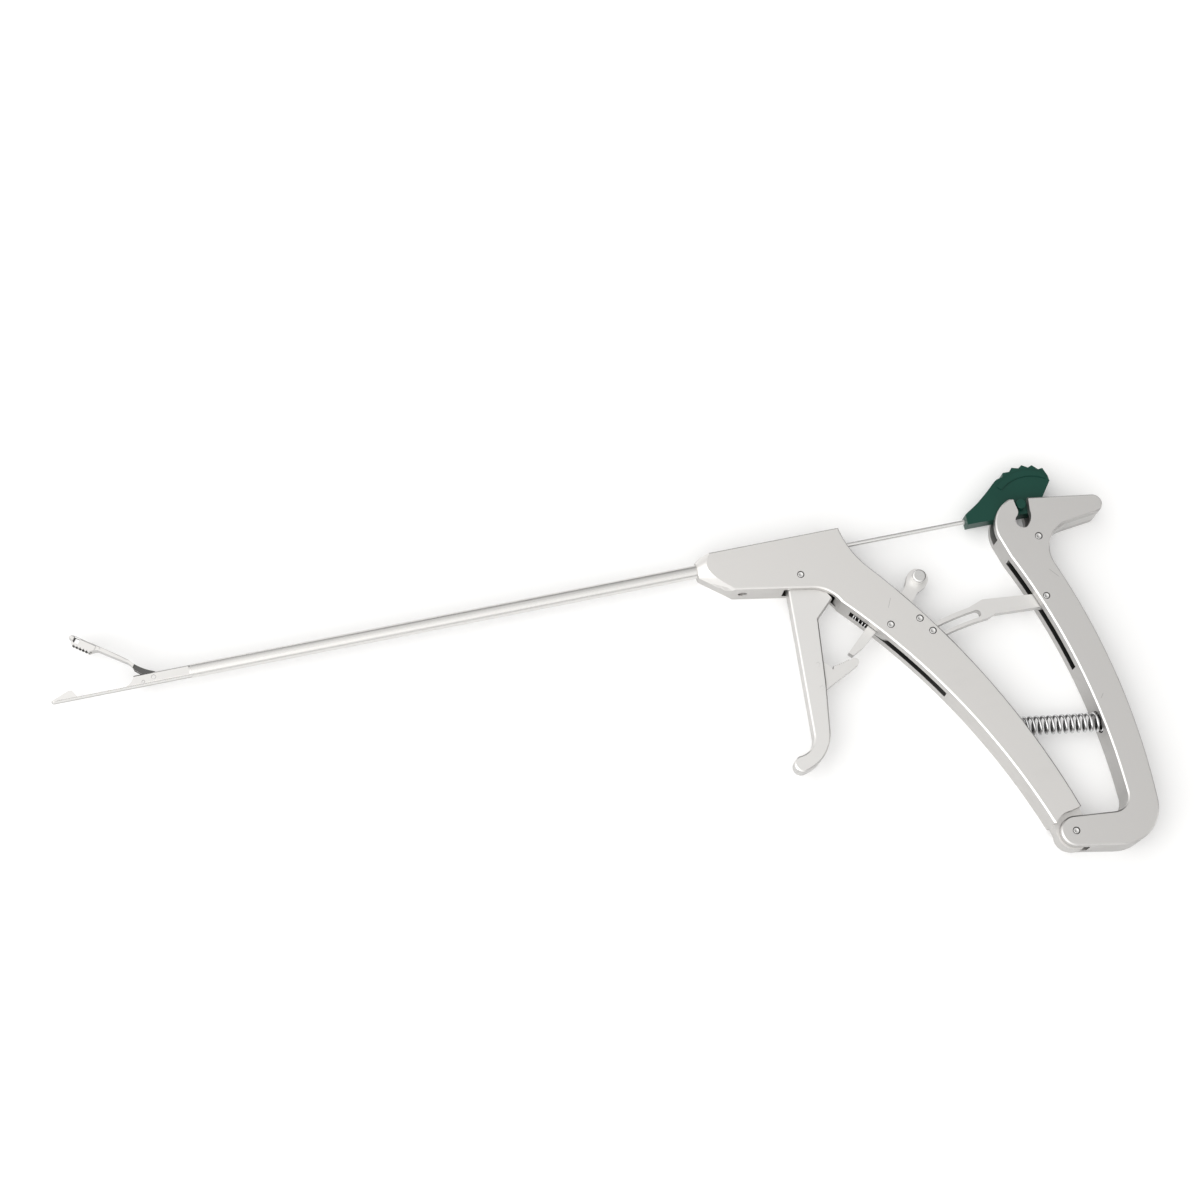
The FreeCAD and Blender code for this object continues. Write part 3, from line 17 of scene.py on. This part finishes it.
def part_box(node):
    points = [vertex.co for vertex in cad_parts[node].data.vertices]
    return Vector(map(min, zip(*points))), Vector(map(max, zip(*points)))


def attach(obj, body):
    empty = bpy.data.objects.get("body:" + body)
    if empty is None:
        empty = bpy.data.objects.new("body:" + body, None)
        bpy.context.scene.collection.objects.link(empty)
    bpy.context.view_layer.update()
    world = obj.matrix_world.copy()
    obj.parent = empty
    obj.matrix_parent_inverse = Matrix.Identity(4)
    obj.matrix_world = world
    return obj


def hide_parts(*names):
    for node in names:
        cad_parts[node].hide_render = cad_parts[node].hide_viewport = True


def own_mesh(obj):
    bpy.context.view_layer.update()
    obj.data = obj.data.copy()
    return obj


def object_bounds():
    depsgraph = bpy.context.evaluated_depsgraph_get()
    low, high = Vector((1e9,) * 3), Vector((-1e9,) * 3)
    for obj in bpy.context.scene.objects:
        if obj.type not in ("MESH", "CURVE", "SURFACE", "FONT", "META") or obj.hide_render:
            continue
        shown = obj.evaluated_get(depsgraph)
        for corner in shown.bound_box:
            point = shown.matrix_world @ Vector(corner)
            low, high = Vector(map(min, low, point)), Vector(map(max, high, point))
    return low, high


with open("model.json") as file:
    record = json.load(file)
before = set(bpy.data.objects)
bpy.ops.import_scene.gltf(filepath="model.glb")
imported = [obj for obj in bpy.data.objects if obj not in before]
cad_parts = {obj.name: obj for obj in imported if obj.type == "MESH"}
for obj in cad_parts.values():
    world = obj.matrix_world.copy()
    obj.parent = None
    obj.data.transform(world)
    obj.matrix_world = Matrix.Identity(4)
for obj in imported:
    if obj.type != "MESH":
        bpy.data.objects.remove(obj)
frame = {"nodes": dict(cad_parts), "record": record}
nodes = frame["nodes"]
first_low, first_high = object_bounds()
scene = bpy.context.scene
print(len(nodes), "pieces from the CAD model")

# %% [markdown]
# Camera
#
# The instrument lies flat on its side, and the camera looks down at it, tipped by 19 degrees.
# The place, the turn and the lens come from matching the shaft, the pins and the handle's
# corners with the photograph, so the picture can be laid over it.

# %% Camera
LENS_MM = 68.1
CAMERA_AT = (-0.1416, -0.2250, 0.7075)
CAMERA_TURN = (18.73, -4.42, -13.14)

scene.render.engine = "CYCLES"
scene.render.resolution_x = 1200
scene.render.resolution_y = 1200
scene.view_settings.view_transform = "Standard"

lens = bpy.data.cameras.new("camera")
lens.sensor_width = 36.0
lens.lens = LENS_MM
lens.clip_start = 0.01
lens.clip_end = 20.0
camera = bpy.data.objects.new("camera", lens)
camera.location = CAMERA_AT
camera.rotation_euler = [math.radians(degrees) for degrees in CAMERA_TURN]
scene.collection.objects.link(camera)
scene.camera = camera
print("camera at", tuple(round(v, 3) for v in camera.location))

# %% [markdown]
# Shader helpers
#
# A finish, a floor and a room are each a small tree of nodes. `Signal` stands for one output
# and takes + - * and abs, so the maths of a finish reads as maths. `Nodes` wraps a tree and
# adds to it. Adding nodes by hand works as well, but takes three lines for each.

# %% Shader helpers
class Signal:
    """One output of a node, usable in sums."""

    def __init__(self, nodes, socket):
        self.nodes = nodes
        self.socket = socket

    def maths(self, operation, *others):
        return self.nodes.node("ShaderNodeMath", [self, *others], operation=operation)

    def __add__(self, other):
        return self.maths("ADD", other)

    def __sub__(self, other):
        return self.maths("SUBTRACT", other)

    def __rsub__(self, other):
        return self.nodes.node("ShaderNodeMath", [other, self], operation="SUBTRACT")

    def __mul__(self, other):
        return self.maths("MULTIPLY", other)

    def __abs__(self):
        return self.maths("ABSOLUTE")

    __radd__ = __add__
    __rmul__ = __mul__

    def above(self, low, high):
        """0 below low, 1 above high, smooth between."""
        return self.nodes.node(
            "ShaderNodeMapRange", {"Value": self, "From Min": low, "From Max": high},
            interpolation_type="SMOOTHSTEP")

    def within(self, low, high, soft):
        """1 between low and high, 0 outside, with soft edges."""
        return self.above(low - soft, low + soft) * (1 - self.above(high - soft, high + soft))

    def output(self, name):
        """Another output of the same node."""
        return Signal(self.nodes, self.socket.node.outputs[name])


class Nodes:
    """A tree of nodes and the one method that adds to it."""

    def __init__(self, tree):
        self.tree = tree

    def node(self, kind, inputs=(), out=0, **settings):
        made = self.tree.nodes.new(kind)
        for name, setting in settings.items():
            setattr(made, name, setting)
        pairs = inputs.items() if isinstance(inputs, dict) else enumerate(inputs)
        for name, given in pairs:
            self.plug(made.inputs[name], given)
        return Signal(self, made.outputs[out]) if made.outputs else made

    def plug(self, socket, given):
        if isinstance(given, Signal):
            self.tree.links.new(given.socket, socket)
        else:
            socket.default_value = given


class Finish(Nodes):
    """A material on a Principled shader."""

    def __init__(self, name):
        self.material = bpy.data.materials.new(name)
        self.material.use_nodes = True
        super().__init__(self.material.node_tree)
        self.surface = self.tree.nodes["Principled BSDF"]
        self.coords = self.node("ShaderNodeTexCoord", out="Object")

    def set(self, **inputs):
        for name, given in inputs.items():
            self.plug(self.surface.inputs[name.replace("_", " ")], given)

    def noise(self, scale, detail=2.0, coords=None):
        return self.node(
            "ShaderNodeTexNoise", {"Vector": coords or self.coords, "Scale": scale, "Detail": detail})

    def stretched(self, along, across, detail=3.0):
        """Noise drawn out along the shaft."""
        pulled = self.node(
            "ShaderNodeVectorMath", [self.coords, (along, across, across)], operation="MULTIPLY")
        return self.noise(1.0, detail, pulled)

    def mix(self, share, first, second):
        return self.node(
            "ShaderNodeMix", {6: first, 7: second, 0: share}, out=2, data_type="RGBA")

    def bump(self, height, distance):
        self.set(Normal=self.node("ShaderNodeBump", {"Height": height, "Distance": distance}))


print("helpers ready")

# %% [markdown]
# Room
#
# Steel looks like what surrounds it, so the room does most of the work: bright overhead and to
# the left, a little brighter in front, dim to the right and low down. That gives the flat sides
# their slow change of tone. A strip of light on the left picks out the chamfers that face it.

# %% Room
OVERHEAD = 1.20
HORIZON = 0.45
LEAN_LEFT = 1.0
LEAN_FRONT = 0.35
WARM_WHITE = (1.0, 0.995, 0.985, 1)
STRIP_SIZE = (0.9, 0.5)
STRIP_WATTS = 2.4
STRIP_AT = (-1.15, -0.25, 0.35)

world = bpy.data.worlds.new("room")
scene.world = world
world.use_nodes = True
room = Nodes(world.node_tree)
way = room.node("ShaderNodeTexCoord", out="Generated")
way = room.node("ShaderNodeSeparateXYZ", [way])
height = way.output("Z").above(0.0, 0.75)
lean = 1 - LEAN_LEFT * way.output("X") - LEAN_FRONT * way.output("Y")
glow = (HORIZON + (OVERHEAD - HORIZON) * height) * lean
backdrop = world.node_tree.nodes["Background"]
backdrop.inputs["Color"].default_value = WARM_WHITE
room.plug(backdrop.inputs["Strength"], glow)


def panel(name, size, power, location):
    """A rectangle of light that faces the instrument."""
    light = bpy.data.lights.new(name, "AREA")
    light.shape = "RECTANGLE"
    light.size, light.size_y = size
    light.energy = power
    made = bpy.data.objects.new(name, light)
    made.location = location
    made.rotation_euler = (-Vector(location)).to_track_quat("-Z", "Y").to_euler()
    scene.collection.objects.link(made)
    return made


strip = panel("left_strip", STRIP_SIZE, STRIP_WATTS, STRIP_AT)
print("room and", strip.name)

# %% [markdown]
# Table
#
# The instrument lies on a white sheet that is burnt out to white, with faint shadows close to
# it. White paint with a little light of its own does this, as it just reaches full white.

# %% Table
PAINT = 0.86
SHEEN = 0.15
TABLE_HALF = 6.0
TABLE_GAP = 0.0001

mesh = bpy.data.meshes.new("table")
build = bmesh.new()
bmesh.ops.create_grid(build, x_segments=1, y_segments=1, size=TABLE_HALF)
build.to_mesh(mesh)
build.free()
table = bpy.data.objects.new("table", mesh)
table.location = (0, 0, first_low.z - TABLE_GAP)
scene.collection.objects.link(table)

sheet = bpy.data.materials.new("sheet")
sheet.use_nodes = True
paper = sheet.node_tree.nodes["Principled BSDF"]
paper.inputs["Base Color"].default_value = (PAINT, PAINT, PAINT, 1)
paper.inputs["Roughness"].default_value = 1.0
paper.inputs["Specular IOR Level"].default_value = 0.0
paper.inputs["Emission Color"].default_value = (1, 1, 1, 1)
paper.inputs["Emission Strength"].default_value = SHEEN
mesh.materials.append(sheet)
print("table at", round(table.location.z, 5))

# %% [markdown]
# Blasted steel
#
# The plates are bead-blasted stainless: a fine even grain, a slow drift of tone and a few
# scratches. Their cut walls are painted a tone darker, as painted shade, and the chamfers between
# are smoother. Chamfers that face right and up, turned from the light, are painted dark: painted
# shade.
# A face's kind is told by how far its normal leans: flat sides 1, chamfers 0.7, walls 0.
# Deep slots are lost in shadow, so their inner side walls are painted dark: painted shade. They are
# known by their distance from the middle plane, and each kind of slot has its band and how dark it
# is.

# %% Blasted steel
# The near-black below is what every darkening blends towards: real scratches and tone, and painted
# shade on walls, far chamfers, slots, pin grooves and coil insides.
DIRT_AND_SHADE = (0.004, 0.004, 0.004, 1)
SCRATCH_DARK = 0.35
UPPER_SIDE = (0.0050, 0.0054)
SCRATCHES = [
    ((0.0594, -0.0252), 63, 0.0042),
    ((0.1169, -0.0262), -52, 0.0049),
    ((0.1202, -0.0706), 51, 0.0023),
]


def scratches(finish, x, y, up):
    """Thin dark lines on the upper side, each at a place, an angle and a length."""
    marks = 0.0
    for (place_x, place_y), degrees, length in SCRATCHES:
        c = math.cos(math.radians(degrees))
        k = math.sin(math.radians(degrees))
        along = (x - place_x) * c + (y - place_y) * k
        across = (y - place_y) * c - (x - place_x) * k
        line = abs(across).above(0.00011, 0.00004) * abs(along).above(length / 2, length / 3)
        marks = line + marks
    return marks * up


def steel(name, tone, rough, slots=(), marked=False):
    """Blasted plate. A slot is two distances from the middle plane, and how dark its painted shade is
    between.
    """
    finish = Finish(name)
    where = finish.node("ShaderNodeSeparateXYZ", [finish.coords])
    x, y, z = where.output("X"), where.output("Y"), where.output("Z")
    normal = finish.node("ShaderNodeNewGeometry", out="True Normal")
    facing = finish.node("ShaderNodeSeparateXYZ", [normal])
    lean = abs(facing.output("Z"))
    flat = lean.above(0.85, 0.95)
    chamfer = lean.within(0.35, 0.88, 0.05)
    wall = 1 - lean.above(0.2, 0.4)
    # Painted shade on the chamfers that face right and up, turned from the light.
    away = facing.output("X") * 0.62 + facing.output("Y") * 0.78
    far = chamfer * away.above(0.1, 0.35)

    slow = finish.noise(45.0, 3.0)
    grain = finish.noise(2400.0, 2.0)
    cloud = finish.stretched(70.0, 260.0)
    # Painted shade: walls are darker by wall, and chamfers turned from the light by far.
    shade = 0.94 + slow * 0.08 + cloud * 0.05 - wall * 0.32 - far * 0.50
    if marked:
        shade = shade - scratches(finish, x, y, z.above(*UPPER_SIDE)) * SCRATCH_DARK
    # Painted shade in deep slots: faces at a slot's distance from the middle plane are darkened.
    slot_shade = 0.0
    for low, high, dark in slots:
        slot_shade = abs(z).within(low, high, 0.00001) * dark + slot_shade
    if slots:
        shade = shade * (1 - slot_shade * flat)
    colour = finish.mix(shade, DIRT_AND_SHADE, (*tone, 1))
    finish.set(Base_Color=colour, Metallic=1.0, Roughness=rough + grain * 0.10 - chamfer * 0.12)
    finish.bump(grain, 0.000012)
    return finish.material


SATIN = (0.80, 0.786, 0.768)
# Painted shade: the lever's steel is a darker copy of the same steel, as the lever lies in dimmer
# light.
LEVER_SATIN_SHADED = (0.72, 0.708, 0.694)
# Painted light: the small pieces' steel is a lighter copy of the same steel, for the brighter light
# on the trigger.
SMALL_SATIN_LIT = (0.85, 0.84, 0.825)
JAW_SATIN = (0.76, 0.75, 0.735)
# Slots: two distances from the middle plane, and how dark their painted shade is.
NARROW_SLOT = (0.00165, 0.00190, 0.90)
TRIGGER_ROOM = (0.00305, 0.00315, 0.90)
TAB_FORK = (0.00254, 0.00264, 0.45)
JAW_PORT = (0.00045, 0.00064, 0.90)
JAW_WINDOW = (0.00100, 0.00112, 0.85)
grip_plate = steel("satin_steel", SATIN, 0.42, [NARROW_SLOT, TRIGGER_ROOM], marked=True)
lever_plate = steel("satin_steel_lever", LEVER_SATIN_SHADED, 0.42, [NARROW_SLOT, TAB_FORK], marked=True)
small_plate = steel("satin_steel_small", SMALL_SATIN_LIT, 0.40)
jaw_plate = steel("satin_steel_jaw", JAW_SATIN, 0.30, [JAW_PORT, JAW_WINDOW])
print("blasted steel made")

# %% [markdown]
# Drawn, ground and polished steel
#
# The tube is drawn and then rubbed along its length, so its gloss changes in long streaks.
# Pins and the needle's tube are ground. The springs are polished wire, nearly a mirror, and
# painted darker on the side of the wire that looks into the coil, painted shade that an attribute
# marks.
# A pin's slopes, which show only as the thin groove round its end, are painted dark: painted shade in
# the groove.

# %% Drawn, ground and polished steel
def round_steel(name, tone, rough, streak=0.0, groove=0.0, inside=0.0):
    """Steel with streaks along the shaft. Painted shade: slopes are darker by groove, a coil's inside
    by inside.
    """
    finish = Finish(name)
    run = finish.stretched(25.0, 2600.0)
    drift = finish.noise(60.0)
    shade = 0.93 + drift * 0.06 + run * 0.08
    if groove:
        normal = finish.node("ShaderNodeNewGeometry", out="True Normal")
        lean = abs(finish.node("ShaderNodeSeparateXYZ", [normal]).output("Z"))
        # Painted shade in the groove round a pin's end.
        shade = shade - groove * lean.within(0.1, 0.86, 0.05)
    if inside:
        inner = finish.node("ShaderNodeAttribute", out="Fac", attribute_name="inner")
        # Painted shade on the side of the wire that looks into the coil.
        shade = shade - inside * inner.above(-0.45, 0.15)
    colour = finish.mix(shade, DIRT_AND_SHADE, (*tone, 1))
    finish.set(Base_Color=colour, Metallic=1.0, Roughness=rough + (run - 0.5) * streak)
    return finish.material


tube = round_steel("tube_steel", (0.72, 0.71, 0.695), 0.27, streak=0.12)
ground = round_steel("pin_steel", (0.76, 0.755, 0.745), 0.26, streak=0.05)
peened = round_steel("pin_steel_peened", (0.78, 0.775, 0.765), 0.22, groove=0.80)
polished = round_steel("spring_steel", (0.70, 0.70, 0.705), 0.12, inside=0.85)
alloy = round_steel("needle_alloy", (0.40, 0.34, 0.29), 0.36, streak=0.12)
print("round steels made")

# %% [markdown]
# Green plastic
#
# The tab is moulded, deep green and half matte, with a faint skin. A low specular level keeps
# the green deep under the bright room.

# %% Green plastic
moulded = Finish("tab_plastic")
skin = moulded.noise(900.0, 3.0)
patch = moulded.noise(90.0)
green = moulded.mix(patch, (0.0022, 0.043, 0.029, 1), (0.0040, 0.054, 0.038, 1))
moulded.set(Base_Color=green, Roughness=0.34 + skin * 0.10, Specular_IOR_Level=0.3)
moulded.bump(skin, 0.00002)
print("plastic made")

# %% [markdown]
# Finishes on the CAD pieces
#
# The record names each piece's slot. Each slot has one finish here, apart from the blasted
# steel, whose painted shade in the dark slots differs between the large plates, the jaws and the
# small plates.

# %% Finishes on the CAD pieces
finishes = {
    "satin_steel": small_plate, "tube_steel": tube, "pin_steel": ground,
    "spring_steel": polished, "needle_alloy": alloy, "tab_plastic": moulded.material,
}
special = {
    "body_frame": grip_plate, "rear_lever": lever_plate,
    "upper_jaw": jaw_plate, "lower_jaw": jaw_plate,
}
for part in frame["record"]["subparts"]:
    piece = nodes[part["node"]]
    piece.data.materials.clear()
    piece.data.materials.append(special.get(part["node"], finishes[part["material_slot"]]))

# %% [markdown]
# Adding a piece
#
# Each new piece is a bmesh that stands for a CAD node: it hides the node, rides on the same
# body and takes the finish it is given. Its faces are smooth, with creases at the sharp turns.

# %% Adding a piece
CREASE = 40
MERGE = 1e-7

bodies = frame["record"]["behaviour"]["bodies"]
home = {node: body for body, members in bodies.items() for node in members}


def stand_in(build, node, name, material):
    """Finishes a bmesh and puts it in a CAD node's place."""
    bmesh.ops.remove_doubles(build, verts=build.verts, dist=MERGE)
    bmesh.ops.recalc_face_normals(build, faces=build.faces)
    mesh = bpy.data.meshes.new(name)
    build.to_mesh(mesh)
    build.free()
    mesh.shade_smooth()
    mesh.set_sharp_from_angle(angle=math.radians(CREASE))
    mesh.materials.append(material)
    piece = bpy.data.objects.new(name, mesh)
    scene.collection.objects.link(piece)
    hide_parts(node)
    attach(piece, home[node])
    return piece


# %% [markdown]
# Springs
#
# The CAD coils have six-sided wire, to stay light. Here each spring is a round wire, swept by
# spinning a circle while it climbs. The first and last turns lie close, as on a real spring
# that is cut to length.
# Each spring has the place of its two ends, and then its mean radius, its wire and its turns.

# %% Springs
WIRE_SIDES = 14
STEPS = 36
CLOSE_PITCH = 1.05


def coil(node, start, end, radius, wire, turns):
    """A round-wire spring from start to end in place of a CAD coil."""
    start, end = Vector(start), Vector(end)
    length = (end - start).length
    build = bmesh.new()
    turn_up = Matrix.Translation((radius, 0, wire / 2)) @ Matrix.Rotation(math.radians(90), 4, "X")
    bmesh.ops.create_circle(build, segments=WIRE_SIDES, radius=wire / 2, matrix=turn_up)
    tip = build.verts[:] + build.edges[:]
    caps = [build.edges[:]]
    close = wire * CLOSE_PITCH
    for laps, rise in ((1, close), (turns - 2, length - wire - 2 * close), (1, close)):
        steps = int(laps * STEPS)
        swept = bmesh.ops.spin(
            build, geom=tip, cent=(0, 0, 0), axis=(0, 0, 1), dvec=(0, 0, rise / steps),
            angle=math.tau * laps, steps=steps)
        tip = swept["geom_last"]
    caps.append([part for part in tip if isinstance(part, bmesh.types.BMEdge)])
    for rim in caps:
        bmesh.ops.contextual_create(build, geom=rim)
    # This attribute marks the side of the wire that looks into the coil, for its painted shade.
    inner = build.verts.layers.float.new("inner")
    for vert in build.verts:
        vert[inner] = (radius - vert.co.xy.length) / (wire / 2)
    lie = (end - start).to_track_quat("Z", "Y").to_matrix().to_4x4()
    bmesh.ops.transform(build, matrix=Matrix.Translation(start) @ lie, verts=build.verts)
    return stand_in(build, node, node + "_wire", polished)


RETURN_FROM, RETURN_TO = (0.0919, -0.0738, 0.0), (0.1203, -0.0781, 0.0)
RETURN_COIL = (0.00285, 0.00096, 14)
PAWL_FROM, PAWL_TO = (0.0479, -0.0254, 0.0), (0.0512, -0.0299, 0.0)
PAWL_COIL = (0.00095, 0.00040, 5)
ROD_FROM, ROD_TO = (0.01305, 0.0, 0.0), (0.02595, 0.0, 0.0)
ROD_COIL = (0.0024, 0.0005, 6)

return_spring = coil("handle_return_spring", RETURN_FROM, RETURN_TO, *RETURN_COIL)
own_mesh(return_spring)
pawl_spring = coil("pawl_spring", PAWL_FROM, PAWL_TO, *PAWL_COIL)
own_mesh(pawl_spring)
rod_spring = coil("drive_return_spring", ROD_FROM, ROD_TO, *ROD_COIL)
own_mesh(rod_spring)
print("spring wire faces:", len(return_spring.data.polygons))

# %% [markdown]
# Peened pins
#
# The ends of the axles are peened: a shallow dish with a raised rim, and a thin groove where
# the pin meets the plate. A pin is half a profile, spun round its axis and mirrored. A point of
# the profile is a share of the pin's radius, and how far it lies below the CAD pin's end.

# %% Peened pins
DISH = 0.00012
GROOVE = 0.00028
RIM_EDGE = 0.00002
PROFILE = [
    (0.0, DISH), (0.34, 0.8 * DISH), (0.56, 0.1 * DISH), (0.70, 0.0),
    (0.78, RIM_EDGE), (0.88, 0.6 * GROOVE), (1.0, GROOVE),
]
ROUND = 40


def peened_pin(node):
    """A pin through the plates with a dish and a groove at both ends, in a CAD pin's place."""
    low, high = (Vector(corner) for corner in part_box(node))
    middle = (low + high) / 2
    radius = (high.x - low.x) / 2
    top = (high.z - low.z) / 2
    outline = [(share * radius, top - below) for share, below in PROFILE] + [(radius, 0.0)]
    build = bmesh.new()
    points = [build.verts.new((r, 0, z)) for r, z in outline]
    line = [build.edges.new(pair) for pair in zip(points, points[1:])]
    bmesh.ops.spin(
        build, geom=points + line, cent=(0, 0, 0), axis=(0, 0, 1),
        angle=math.tau, steps=ROUND, use_merge=True)
    half = build.verts[:] + build.edges[:] + build.faces[:]
    bmesh.ops.mirror(build, geom=half, axis="Z", merge_dist=MERGE)
    bmesh.ops.translate(build, verts=build.verts, vec=middle)
    return stand_in(build, node, node + "_peened", peened)


PEENED = [
    "trigger_pivot_pin", "pawl_pivot_pin", "link_slot_pin", "link_rest_pin",
    "handle_pivot_pin", "head_cross_pin", "link_pivot_pin",
]
for node in PEENED:
    peened_pin(node)
print(len(PEENED), "peened pins")

# %% [markdown]
# Web of the thumb rest
#
# Behind the tab's fork the two cheeks of the rear lever are one solid thumb rest. The CAD fork
# runs out through it, so a web closes the gap there, flush with the cheeks' edges. It is the
# thumb rest's own outline, drawn once and pushed out to the fork's width: a hollow curve from
# the root, a straight lower edge, the round tip, and the upper edge back to the fork.

# %% Web of the thumb rest
FORK_HALF = 0.0026
ROOT, HOLLOW, LOWER_START = (0.1208, -0.01243), (0.1236, -0.01068), (0.1270, -0.00935)
TIP_LOW, TIP, TIP_HIGH = (0.1377, -0.00805), (0.1406, -0.00485), (0.1378, -0.00164)
UPPER_END = (0.1262, 0.00008)


def arc(first, middle, last, steps):
    """Points on the arc through three points, the first one left out."""
    a, b, c = (Vector((*point, 0.0)) for point in (first, middle, last))
    ab, ac = b - a, c - a
    up = ab.cross(ac)
    across = up.cross(ab) * ac.length_squared + ac.cross(up) * ab.length_squared
    centre = a + across / (2 * up.length_squared)
    sweep = (a - centre).angle(b - centre) + (b - centre).angle(c - centre)
    turn = math.copysign(sweep / steps, up.z)
    spokes = [Matrix.Rotation(turn * step, 3, "Z") @ (a - centre) for step in range(1, steps + 1)]
    return [(centre + spoke)[:2] for spoke in spokes]


rest = [ROOT, *arc(ROOT, HOLLOW, LOWER_START, 5)]
rest += [TIP_LOW, *arc(TIP_LOW, TIP, TIP_HIGH, 8), UPPER_END]
build = bmesh.new()
corners = [build.verts.new((x, y, -FORK_HALF)) for x, y in rest]
face = build.faces.new(corners)
pushed = bmesh.ops.extrude_face_region(build, geom=[face])
moved = [part for part in pushed["geom"] if isinstance(part, bmesh.types.BMVert)]
bmesh.ops.translate(build, verts=moved, vec=(0, 0, 2 * FORK_HALF))
bmesh.ops.recalc_face_normals(build, faces=build.faces)
mesh = bpy.data.meshes.new("thumb_rest_web")
build.to_mesh(mesh)
build.free()
mesh.materials.append(small_plate)
web = bpy.data.objects.new("thumb_rest_web", mesh)
scene.collection.objects.link(web)
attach(web, "lever")
print("web corners:", len(rest))
